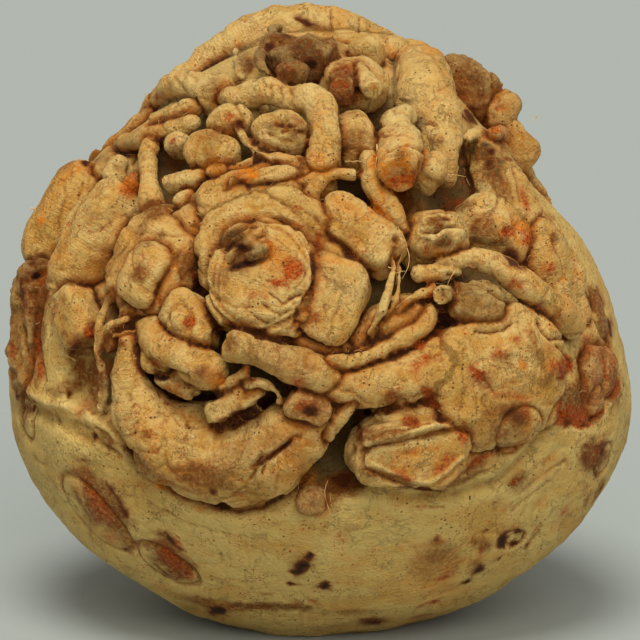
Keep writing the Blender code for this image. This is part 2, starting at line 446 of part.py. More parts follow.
def add_root(mesh, line):
    """A round root along the line, made as a bevelled curve and taken over as a mesh."""
    curve = bpy.data.curves.new("root", "CURVE")
    curve.dimensions = "3D"
    curve.bevel_depth = 1.0
    curve.bevel_resolution = ROOT_BEVEL
    curve.use_fill_caps = True
    spline = curve.splines.new("POLY")
    spline.points.add(len(line) - 1)
    for end, (point, radius) in zip(spline.points, line):
        end.co = (*point, 1.0)
        end.radius = radius
    holder = bpy.data.objects.new("root", curve)
    bpy.context.scene.collection.objects.link(holder)
    bpy.context.view_layer.update()
    tubes = holder.to_mesh()
    mesh.from_mesh(tubes)
    holder.to_mesh_clear()
    bpy.data.objects.remove(holder)
    bpy.data.curves.remove(curve)


def root_line(stations, end):
    line = smooth_line(stations)
    line = with_round_end(line[::-1])[::-1]
    return line if end == "cut" else with_round_end(line)


def front_lines():
    lines = []
    for name, end, stations in ROOTS:
        placed = [(on_face(across, up, lift), radius) for across, up, lift, radius in stations]
        lines.append((name, root_line(placed, end)))
    return lines


def on_compass(turn, height, lift=0.0):
    """The point at a compass place of the bulb's own skin, moved out by lift."""
    point = bulb_point(compass_way(turn, height))
    return point + skin_normal(point) * lift


def back_lines():
    lines = []
    for name, stations in BACK_ROOTS:
        placed = [(on_compass(turn, height, lift), radius) for turn, height, lift, radius in stations]
        lines.append((name, root_line(placed, "round")))
    return lines


def crown_lines():
    """The cut leaf stalks, in rings round the crown. Each leans out from the crown's middle."""
    middle = compass_way(CROWN_TURN, CROWN_HEIGHT)
    frame = surface_frame(on_way(middle), RIGHT)
    place_varies, length_varies, thickness_varies = STALK_VARIES
    lines = []
    for radius, count, stalk_radius, stands_out in CROWN_RINGS:
        for i in range(count):
            angle = math.tau * (i + 0.5 * (count % 2)) / count + place_varies * math.sin(7.0 * i)
            around = frame @ Vector((math.cos(angle), math.sin(angle), 0.0))
            foot = bulb_point((middle + around * radius / HALF_DEPTH).normalized())
            length = stands_out + length_varies * math.sin(5.0 * angle)
            thick = stalk_radius * (1.0 + thickness_varies * math.sin(3.0 * angle))
            bottom = foot - frame.col[2] * STALK_FOOT_DEPTH
            top = foot + frame.col[2] * length + around * STALK_LEAN
            lines.append((f"stalk{len(lines)}", smooth_line([(bottom, thick * STALK_FLARE), (top, thick)])))
    return lines


def add_nubs(mesh):
    """Low knobs where side roots were trimmed, scattered over the flanks, the back and the underside."""
    draw = random.Random(NUB_SEED)
    made = 0
    while made < NUB_COUNT:
        turn, height = draw.uniform(*NUB_TURNS), draw.uniform(*NUB_HEIGHTS)
        if math.hypot(turn - CROWN_TURN, height - CROWN_HEIGHT) < NUB_CROWN_GAP:
            continue
        size = draw.uniform(*NUB_SIZES)
        halves = (size, size * draw.uniform(*NUB_WIDTHS), NUB_HEIGHT * size)
        spin = draw.uniform(0.0, math.pi)
        point = on_compass(turn, height, -NUB_SINK * size)
        level = Vector((0.0, 0.0, 1.0)).cross(skin_normal(point))
        along = level * math.cos(spin) + skin_normal(point).cross(level) * math.sin(spin)
        add_lobe(mesh, point, along, halves, NUB_SQUARENESS, NUB_SEED_STEP * made)
        made += 1


def grown_pieces():
    """Bulb, lobes and roots as one mesh of overlapping closed shapes, in millimetres.

    Also gives the face count after each growth, and the growth's family. Creases run only between
    families. The first word of a name is its family."""
    mesh = bmesh.new()
    add_bulb(mesh)
    counts, families = [len(mesh.faces)], ["bulb"]
    add_nubs(mesh)
    counts.append(len(mesh.faces))
    families.append("nub")
    for seed, (name, across, up, lift, halves, turn, squareness) in enumerate(LOBES):
        along = face_direction(math.cos(math.radians(turn)), math.sin(math.radians(turn)))
        add_lobe(mesh, on_face(across, up, lift), along, halves, squareness, LOBE_SEED_STEP * seed)
        counts.append(len(mesh.faces))
        families.append(name.split("_")[0])
    for name, line in (*front_lines(), *back_lines(), *crown_lines()):
        add_root(mesh, line)
        counts.append(len(mesh.faces))
        families.append(name.split("_")[0])
    return mesh, counts, families


def ring_relief(points):
    """Height to add at each point for the rings, in millimetres."""
    relief = np.zeros(len(points))
    for across, up, half_length, half_width, turn, depth, dome in FACE_RINGS:
        middle = on_face(across, up)
        along = face_direction(math.cos(math.radians(turn)), math.sin(math.radians(turn)))
        local = (points - np.array(middle)) @ np.array(surface_frame(middle, along))
        reach = np.hypot(local[:, 0] / half_length, local[:, 1] / half_width)
        width = RING_WIDTH / half_width
        shape = dome * np.clip(1.0 - reach ** 2, 0.0, 1.0) - depth * np.exp(-((reach - 1.0) / width) ** 2)
        near = (local[:, 2] > RING_REACH[0]) & (local[:, 2] < RING_REACH[1])
        relief += np.where(near, shape, 0.0)
    return relief


def apply_modifier(obj, kind, **settings):
    modifier = obj.modifiers.new(kind.lower(), kind)
    for name, value in settings.items():
        setattr(modifier, name, value)
    graph = bpy.context.evaluated_depsgraph_get()
    shaped = bpy.data.meshes.new_from_object(obj.evaluated_get(graph))
    obj.modifiers.clear()
    old, obj.data = obj.data, shaped
    bpy.data.meshes.remove(old)


def vertex_values(data, name):
    values = np.empty(len(data.vertices) * 3)
    data.vertices.foreach_get(name, values)
    return values.reshape(-1, 3)


def raise_skin(data, heights):
    """Moves each vertex along its normal."""
    points = vertex_values(data, "co") + vertex_values(data, "normal") * heights[:, None]
    data.vertices.foreach_set("co", points.ravel())
    data.update()


def spread(values, ends, rounds):
    """Evens the values out over the mesh: each round averages every vertex with its neighbours."""
    links = np.bincount(ends.ravel(), minlength=len(values))
    for _ in range(rounds):
        sums = np.bincount(ends[:, 0], values[ends[:, 1]], len(values))
        sums += np.bincount(ends[:, 1], values[ends[:, 0]], len(values))
        values = 0.5 * values + 0.5 * sums / links
    return values


def seam_share(data, pieces, counts, families):
    """How much each vertex belongs to a crease, where one piece meets another."""
    tree = BVHTree.FromBMesh(pieces)
    nearest = [tree.find_nearest(point)[2] for point in map(Vector, vertex_values(data, "co"))]
    number = np.array([families.index(family) for family in families])
    piece = number[np.searchsorted(counts, nearest, side="right")]
    ends = np.empty(len(data.edges) * 2, dtype=int)
    data.edges.foreach_get("vertices", ends)
    ends = ends.reshape(-1, 2)
    crossing = ends[piece[ends[:, 0]] != piece[ends[:, 1]]]
    share = np.zeros(len(data.vertices))
    share[crossing.ravel()] = 1.0
    return spread(share, ends, SEAM_SPREAD)


def body_of(start):
    """All vertices joined to a vertex by edges."""
    found = {start}
    rim = [start]
    while rim:
        near = {edge.other_vert(vertex) for vertex in rim for edge in vertex.link_edges}
        rim = near - found
        found |= rim
    return found


def fill_bubbles(obj):
    """Closed bubbles between the grown shapes have skins of their own. Only the outer skin stays."""
    mesh = bmesh.new()
    mesh.from_mesh(obj.data)
    outer = body_of(max(mesh.verts, key=lambda vertex: vertex.co.x))
    bubbles = [vertex for vertex in mesh.verts if vertex not in outer]
    bmesh.ops.delete(mesh, geom=bubbles, context="VERTS")
    mesh.to_mesh(obj.data)
    mesh.free()


def cut_foot(obj):
    """Shaves the resting spot flat and closes it with one face."""
    floor = FOOT_LEVEL * MM
    mesh = bmesh.new()
    mesh.from_mesh(obj.data)
    everything = [*mesh.verts, *mesh.edges, *mesh.faces]
    cut = bmesh.ops.bisect_plane(
        mesh, geom=everything, plane_co=(0.0, 0.0, floor), plane_no=(0.0, 0.0, 1.0), clear_inner=True
    )
    rim = [item for item in cut["geom_cut"] if isinstance(item, bmesh.types.BMEdge)]
    bmesh.ops.contextual_create(mesh, geom=rim)
    bmesh.ops.triangulate(mesh, faces=mesh.faces)
    mesh.to_mesh(obj.data)
    mesh.free()


def stand_on_origin(obj):
    """Moves the mesh so that the middle of its box's underside is the origin."""
    corners = np.array([vertex.co for vertex in obj.data.vertices])
    low, high = corners.min(axis=0), corners.max(axis=0)
    middle = (low + high) / 2.0
    obj.data.transform(Matrix.Translation((-middle[0], -middle[1], -low[2])))


def skin_material():
    name, colour, roughness = SKIN
    material = bpy.data.materials.new(name)
    material.use_nodes = True
    shader = material.node_tree.nodes["Principled BSDF"]
    shader.inputs["Base Color"].default_value = (*colour, 1.0)
    shader.inputs["Roughness"].default_value = roughness
    return material


def build_celeriac():
    pieces, counts, families = grown_pieces()
    bmesh.ops.scale(pieces, vec=(MM, MM, MM), verts=pieces.verts)
    data = bpy.data.meshes.new("celeriac")
    pieces.to_mesh(data)
    celeriac = bpy.data.objects.new("celeriac", data)
    bpy.context.scene.collection.objects.link(celeriac)
    apply_modifier(celeriac, "REMESH", mode="VOXEL", voxel_size=FUSE_CELL)
    fill_bubbles(celeriac)
    raise_skin(celeriac.data, -SEAM_DEPTH * seam_share(celeriac.data, pieces, counts, families))
    raise_skin(celeriac.data, ring_relief(vertex_values(celeriac.data, "co") / MM) * MM)
    pieces.free()
    triangles = sum(len(face.vertices) - 2 for face in celeriac.data.polygons)
    apply_modifier(celeriac, "DECIMATE", ratio=SOLID_TRIANGLES / triangles, use_collapse_triangulate=True)
    cut_foot(celeriac)
    stand_on_origin(celeriac)
    celeriac.data.shade_smooth()
    celeriac.data.materials.clear()
    celeriac.data.materials.append(skin_material())
    return celeriac


def main():
    for obj in list(bpy.data.objects):
        bpy.data.objects.remove(obj)
    build_celeriac()


if __name__ == "__main__":
    main()
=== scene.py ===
# %% [markdown]
# # A celeriac, its root side to the front
#
# A celeriac is one swollen stem base. Its front here is the underside as it grew, a tangle of side
# roots that were cut or broken off; the leaf stalks were cut off at the back. This lesson models it
# as it grew: a lopsided bulb, then lobes, then roots, all grown into one skin that is wrinkled,
# stained and given a few hairs.
#
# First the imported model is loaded. It is the plain solid of the same root. It stays as it is, for
# collisions, and the detailed skin made here stands for it.

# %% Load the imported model
import json
import math
import random
from itertools import product

import bpy
import numpy as np
from mathutils import Matrix, Vector, noise
from mathutils.bvhtree import BVHTree

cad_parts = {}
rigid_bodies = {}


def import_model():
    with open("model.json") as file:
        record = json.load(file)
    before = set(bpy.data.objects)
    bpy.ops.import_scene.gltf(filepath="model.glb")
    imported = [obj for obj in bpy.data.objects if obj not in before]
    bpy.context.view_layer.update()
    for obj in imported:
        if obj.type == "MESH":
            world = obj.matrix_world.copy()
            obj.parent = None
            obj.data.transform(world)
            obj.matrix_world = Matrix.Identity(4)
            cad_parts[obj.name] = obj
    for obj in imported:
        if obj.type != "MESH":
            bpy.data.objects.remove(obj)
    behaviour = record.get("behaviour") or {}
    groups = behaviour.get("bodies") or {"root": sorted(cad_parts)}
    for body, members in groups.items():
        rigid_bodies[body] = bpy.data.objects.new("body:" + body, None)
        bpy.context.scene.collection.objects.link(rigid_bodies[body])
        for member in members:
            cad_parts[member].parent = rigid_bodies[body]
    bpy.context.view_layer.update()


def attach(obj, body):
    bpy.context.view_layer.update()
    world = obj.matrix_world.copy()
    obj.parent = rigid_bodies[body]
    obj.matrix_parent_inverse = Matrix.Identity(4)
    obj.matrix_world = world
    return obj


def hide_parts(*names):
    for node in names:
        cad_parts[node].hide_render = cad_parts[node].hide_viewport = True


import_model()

# %% [markdown]
# ## Where things are
#
# Everything is worked out in millimetres round the middle of the bulb and made metres at the end.
# The root side is laid out as seen from the front: across is to the right, up is up, and lift is
# how far something stands out of the skin. That face leans back a little. The bulb's edge is a ring
# of sixteen measures, eased into each other, because a grown thing is no circle.

# %% The bulb's measures
MM = 0.001
OUTLINE = (  # from the middle to the edge of the bulb, every 22.5 degrees from the right over the top
    67.5, 62.5, 57.5, 64.5, 69.0, 66.5, 61.5, 64.0, 67.5, 69.0, 67.0, 65.0, 64.0, 65.5, 69.5, 71.0,
)
OUTLINE_STEP = 360.0 / len(OUTLINE)
HALF_DEPTH = 56.5
FOOT_LEVEL = -61.4  # height of the flat resting spot
FACE_TILT = math.radians(12.0)
BULB_MIDDLE = Vector((-0.30, -1.26, 61.4)) * MM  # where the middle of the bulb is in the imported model
RIGHT = np.array((1.0, 0.0, 0.0))
UP = np.array((0.0, math.sin(FACE_TILT), math.cos(FACE_TILT)))
INWARD = np.array((0.0, math.cos(FACE_TILT), -math.sin(FACE_TILT)))


def unit(vectors):
    return vectors / np.linalg.norm(vectors, axis=-1, keepdims=True)


def ease(share):
    share = np.clip(share, 0.0, 1.0)
    return share * share * (3.0 - 2.0 * share)


def smooth_between(a, b, c, d, t):
    """A smooth way from b, where t is 0, to c, where it is 1, coming from a and going on to d."""
    return 0.5 * (2 * b + (c - a) * t + (2 * a - 5 * b + 4 * c - d) * t ** 2
                  + (3 * b - a - 3 * c + d) * t ** 3)


def edge_radius(across, up):
    """Distance from the middle to the bulb's edge towards (across, up)."""
    place = np.degrees(np.arctan2(up, across)) % 360.0 / OUTLINE_STEP
    i = np.floor(place).astype(int)
    measures = (np.take(OUTLINE, i + step, mode="wrap") for step in (-1, 0, 1, 2))
    return smooth_between(*measures, place - i)


def skin_normal(points):
    """The way out of the bulb at points of its skin."""
    across, up, inward = points @ RIGHT, points @ UP, points @ INWARD
    squared = edge_radius(across, up) ** 2
    return unit(np.multiply.outer(across / squared, RIGHT) + np.multiply.outer(up / squared, UP)
                + np.multiply.outer(inward / HALF_DEPTH ** 2, INWARD))


def on_face(across, up, lift=0.0):
    """The point that lies at (across, up) as seen from the front, on the skin lifted by lift."""
    reach = math.hypot(across, up) / (edge_radius(across, up) + lift)
    inward = (HALF_DEPTH + lift) * math.sqrt(max(0.0, 1.0 - reach * reach))
    return across * RIGHT + up * UP - inward * INWARD


def on_way(ways):
    """The points of the skin in directions from the middle of the bulb."""
    across, up, inward = ways @ RIGHT, ways @ UP, ways @ INWARD
    reach = np.hypot(across, up) / edge_radius(across, up)
    return ways / np.hypot(reach, inward / HALF_DEPTH)[..., None]


def surface_frame(point, along):
    """Axes at a skin point, as columns: along the skin, across it and out of it."""
    out = skin_normal(point)
    along = unit(along - out * (along @ out))
    return np.column_stack((along, np.cross(out, along), out))


def face_way(turn):
    """The direction in the root face that is turned so many degrees from the right."""
    return math.cos(math.radians(turn)) * RIGHT + math.sin(math.radians(turn)) * UP


print("the bulb is", OUTLINE[0] + OUTLINE[8], "mm wide and", 2 * HALF_DEPTH, "mm deep")

# %% [markdown]
# ## Camera
#
# The photograph looks a little down on the root, from straight in front of it. A long lens from a
# metre away keeps the perspective as calm as in the photograph.

# %% The camera
CAMERA_DISTANCE = 0.996
CAMERA_HEIGHT = math.radians(12.0)  # how far it looks down
CAMERA_SHIFT = (0.00045, 0.0056)  # to the right and up from the middle of the bulb
LENS = 250.0  # a long one, in millimetres as the sensor is
SENSOR_WIDTH = 36.0
NEAREST_SEEN = 0.01

bpy.ops.object.select_all(action="DESELECT")
bpy.ops.object.camera_add()
camera = bpy.context.object
camera.name = "camera"
camera.data.lens = LENS
camera.data.sensor_width = SENSOR_WIDTH
camera.data.clip_start = NEAREST_SEEN
view_up = Vector((0.0, math.sin(CAMERA_HEIGHT), math.cos(CAMERA_HEIGHT)))
view_back = Vector((0.0, -math.cos(CAMERA_HEIGHT), math.sin(CAMERA_HEIGHT)))
aim = BULB_MIDDLE + Vector((CAMERA_SHIFT[0], 0.0, 0.0)) + view_up * CAMERA_SHIFT[1]
camera.location = aim + view_back * CAMERA_DISTANCE
camera.rotation_euler = (math.pi / 2.0 - CAMERA_HEIGHT, 0.0, 0.0)
bpy.context.scene.camera = camera
print("the camera is at", list(camera.location))

# %% [markdown]
# ## Floor and light
#
# The root lies on a pale table that fills the background. The light is soft: a wide sun disc from
# above and in front, as from a big lamp with a cloth before it, a weaker and lower one that reaches
# under the overhangs, and a faint glow from all sides. The gaps between the roots go dark but no
# shadow has a hard edge.

# %% Floor and light
FLOOR_SIZE = 8.0
FLOOR_COLOUR = (0.372, 0.405, 0.384)
FLOOR_ROUGHNESS = 0.8
GLOW_COLOUR = (1.0, 1.0, 0.96)
GLOW_STRENGTH = 0.29
SUN_COLOUR = (1.0, 0.985, 0.93)
SUNS = (  # name, strength, then in degrees: width of the disc, height, turn to the right of the front
    ("soft_sun", 2.2, 26.0, 70.0, -12.0),
    ("low_fill", 1.32, 44.0, 33.0, 12.0),
)


def plain_material(name, colour, roughness):
    material = bpy.data.materials.new(name)
    material.use_nodes = True
    shader = material.node_tree.nodes["Principled BSDF"]
    shader.inputs["Base Color"].default_value = (*colour, 1.0)
    shader.inputs["Roughness"].default_value = roughness
    return material


def add_sun(name, strength, width, height, turn):
    """A sun with a wide disc, which makes soft shadows."""
    bpy.ops.object.light_add(type="SUN")
    sun = bpy.context.object
    sun.name = name
    sun.data.energy = strength
    sun.data.color = SUN_COLOUR
    sun.data.angle = width
    to_sun = Vector((math.sin(turn), -math.cos(turn), math.tan(height)))
    sun.rotation_euler = to_sun.to_track_quat("Z", "Y").to_euler()


bpy.ops.mesh.primitive_plane_add(size=FLOOR_SIZE)
floor = bpy.context.object
floor.name = "floor"
floor.data.materials.append(plain_material("floor_pale", FLOOR_COLOUR, FLOOR_ROUGHNESS))
for name, strength, *angles in SUNS:
    add_sun(name, strength, *map(math.radians, angles))
world = bpy.data.worlds.new("studio")
world.use_nodes = True
glow = world.node_tree.nodes["Background"]
glow.inputs["Color"].default_value = (*GLOW_COLOUR, 1.0)
glow.inputs["Strength"].default_value = GLOW_STRENGTH
bpy.context.scene.world = world
bpy.context.scene.view_settings.view_transform = "Standard"
print("the floor, a soft sun and a low fill light are in place")

# %% [markdown]
# ## The bulb
#
# Under everything lies the bulb. A ball of small triangles is the start, and each of its points is
# moved out to the skin in its direction. Slow lumps come from a noise, and short lists give the
# hollows and grooves that the tangle grew in, and the swells and folds on the back.

# %% What the bulb's skin does
HOLLOWS = (  # across, up, half width, half height, depth
    (-3.0, 16.0, 50.0, 50.0, 8.0),
    (5.0, -24.0, 9.0, 9.0, 6.0),
    (-49.0, -7.0, 7.0, 9.0, 4.0),
    (12.0, 46.0, 12.0, 12.0, 5.0),
    (15.0, 36.0, 9.0, 6.0, 5.0),
)
HOLLOW_EDGE = 0.25  # a hollow has its full depth from this share of its reach inside its edge
GROOVES = (  # name, half width, depth, (across, up) points
    ("under_bag", 2.4, 3.2, ((-43.9, -6.0), (-44.4, -12.0), (-43.6, -16.8), (-40.0, -23.6), (-33.2, -29.8),
     (-26.0, -34.0), (-17.2, -35.6), (-9.6, -34.4), (-2.6, -28.8), (0.8, -21.8), (3.2, -15.5))),
    ("under_bulge", 2.2, 2.0, ((10.0, -30.0), (18.0, -32.4), (30.0, -32.4), (40.0, -29.0), (47.0, -22.5),
     (50.6, -14.0), (50.4, -4.0), (51.0, 3.0))),
    ("under_left", 2.2, 1.6, ((-70.0, -13.0), (-61.0, -14.0), (-55.0, -16.5), (-50.0, -20.0))),
)
SWELLS = (  # turn from the front, height over the middle, reach in degrees, rise
    (178.0, -10.0, 30.0, 5.5),
    (114.0, 36.0, 17.0, 2.4),
    (74.0, -10.0, 20.0, 1.8),
    (140.0, 44.0, 19.0, 3.6),
    (-152.0, 46.0, 18.0, 3.8),
    (-106.0, 40.0, 16.0, 3.6),
    (-92.0, -18.0, 24.0, 2.0),
    (-128.0, 4.0, 20.0, 2.6),
    (126.0, 0.0, 20.0, 2.8),
    (150.0, -44.0, 22.0, 1.6),
    (-150.0, -42.0, 20.0, 1.8),
    (180.0, -74.0, 26.0, 1.8),
)
BACK_FOLDS = (  # valleys between the swells: (turn, height) points, half width in degrees, depth
    (((118.0, 62.0), (120.0, 40.0), (114.0, 20.0), (108.0, 2.0), (106.0, -18.0)), 7.0, 1.8),
    (((-128.0, 66.0), (-128.0, 44.0), (-116.0, 24.0), (-109.0, 4.0), (-112.0, -16.0)), 7.0, 1.8),
    (((172.0, 66.0), (176.0, 48.0), (170.0, 30.0)), 6.0, 1.6),
    (((148.0, 24.0), (140.0, 10.0), (146.0, -8.0), (150.0, -26.0)), 6.0, 1.3),
    (((-152.0, 26.0), (-146.0, 10.0), (-147.0, -8.0), (-152.0, -26.0)), 6.0, 1.3),
)
CROWN_TURN, CROWN_HEIGHT = 178.0, -10.0
LEAF_SCARS = (24.0, 28.5, 33.0)  # radii of the ridges that older leaves left round the crown
LEAF_SCAR_RISE = 0.7
BULB_LUMPS = ((1.6, 34.0), (0.7, 15.0))  # height and size
FRONT_EDGE = 0.3  # how much a way has to point to the front to count in full


def compass_way(turn, height):
    """The direction of a compass turn from the front and a height angle."""
    turn, height = math.radians(turn), math.radians(height)
    level = math.cos(height)
    return np.array((math.sin(turn) * level, -math.cos(turn) * level, math.sin(height)))


def angle_from(ways, middle):
    """The angle between each way and the middle one."""
    return np.arccos(np.clip(ways @ middle, -1.0, 1.0))


def facing_front(ways):
    """1 for ways that point to the front, down to 0 for those to the side and the back."""
    return np.clip(-(ways @ INWARD) / FRONT_EDGE, 0.0, 1.0)


def distance_to_line(places, line):
    nearest = np.full(len(places), np.inf)
    for start, end in zip(line, line[1:]):
        way = np.subtract(end, start)
        share = np.clip((places - start) @ way / (way @ way), 0.0, 1.0)
        nearest = np.minimum(nearest, np.linalg.norm(places - start - share[:, None] * way, axis=1))
    return nearest


def perlin(points, size):
    """Smooth noise with lumps of about the given size."""
    return np.array([noise.noise(Vector(place)) for place in points / size])


def hollow_depth(across, up):
    depth = np.zeros(len(across))
    for middle_across, middle_up, half_width, half_height, full in HOLLOWS:
        reach = np.hypot((across - middle_across) / half_width, (up - middle_up) / half_height)
        depth += full * ease((1.0 - reach) / HOLLOW_EDGE)
    for _, half_width, full, line in GROOVES:
        distance = distance_to_line(np.column_stack((across, up)), line)
        depth += full * ease(1.0 - distance / half_width)
    return depth


def back_swell(ways):
    """How far the flanks and the back stand out of the plain bulb."""
    rise = np.zeros(len(ways))
    for turn, height, reach, full in SWELLS:
        apart = np.degrees(angle_from(ways, compass_way(turn, height)))
        rise += full * np.exp(-(apart / reach) ** 2)
    for line, half_width, depth in BACK_FOLDS:
        apart = np.degrees(distance_to_line(ways, [compass_way(*place) for place in line]))
        rise -= depth * ease(1.0 - apart / half_width)
    from_crown = angle_from(ways, compass_way(CROWN_TURN, CROWN_HEIGHT)) * HALF_DEPTH
    for radius in LEAF_SCARS:
        rise += LEAF_SCAR_RISE * np.exp(-(from_crown - radius) ** 2)
    return rise


def bulb_points(ways):
    """The skin of the bulb in directions from its middle, with its slow lumps and hollows."""
    points = on_way(ways)
    swell = sum(height * perlin(points, size) for height, size in BULB_LUMPS) + back_swell(ways)
    swell -= hollow_depth(points @ RIGHT, points @ UP) * facing_front(ways)
    return points + skin_normal(points) * swell[:, None]


print(len(SWELLS), "swells and", len(BACK_FOLDS), "folds on the flanks and the back")

# %% [markdown]
# Each grown thing gets a number on its faces before all are joined. The numbers tell later which
# root or lobe a bit of skin belongs to, so that creases, rings and stains can follow it.

# %% Shape the bulb
BULB_SUBDIVISIONS = 7
grown = []  # one entry for each growth: its family and the lines or axes its skin follows


def mesh_points(data):
    points = np.empty(len(data.vertices) * 3)
    data.vertices.foreach_get("co", points)
    return points.reshape(-1, 3)


def set_points(data, points):
    data.vertices.foreach_set("co", np.ravel(points))
    data.update()


def number_growth(obj, family, kind, guide):
    """Writes the growth's number on its faces, and keeps what its skin follows."""
    numbers = obj.data.attributes.new("growth", "INT", "FACE")
    numbers.data.foreach_set("value", np.full(len(obj.data.polygons), len(grown)))
    grown.append({"family": family, "kind": kind, "guide": guide})


bpy.ops.object.select_all(action="DESELECT")
bpy.ops.mesh.primitive_ico_sphere_add(subdivisions=BULB_SUBDIVISIONS, radius=1.0)
bulb = bpy.context.object
bulb.name = "bulb"
set_points(bulb.data, bulb_points(unit(mesh_points(bulb.data))))
number_growth(bulb, "bulb", "bulb", None)
print("bulb:", len(bulb.data.polygons), "faces")

# %% [markdown]
# ## Lobes and knobs
#
# Where a side root was cut off early, the skin closed over it as a rounded lobe. Every lobe is the
# same ball, copied and squared off: a squareness of 2 gives an egg, a higher one a worn block. No
# two are alike, because each is also swollen a little by a noise of its own.

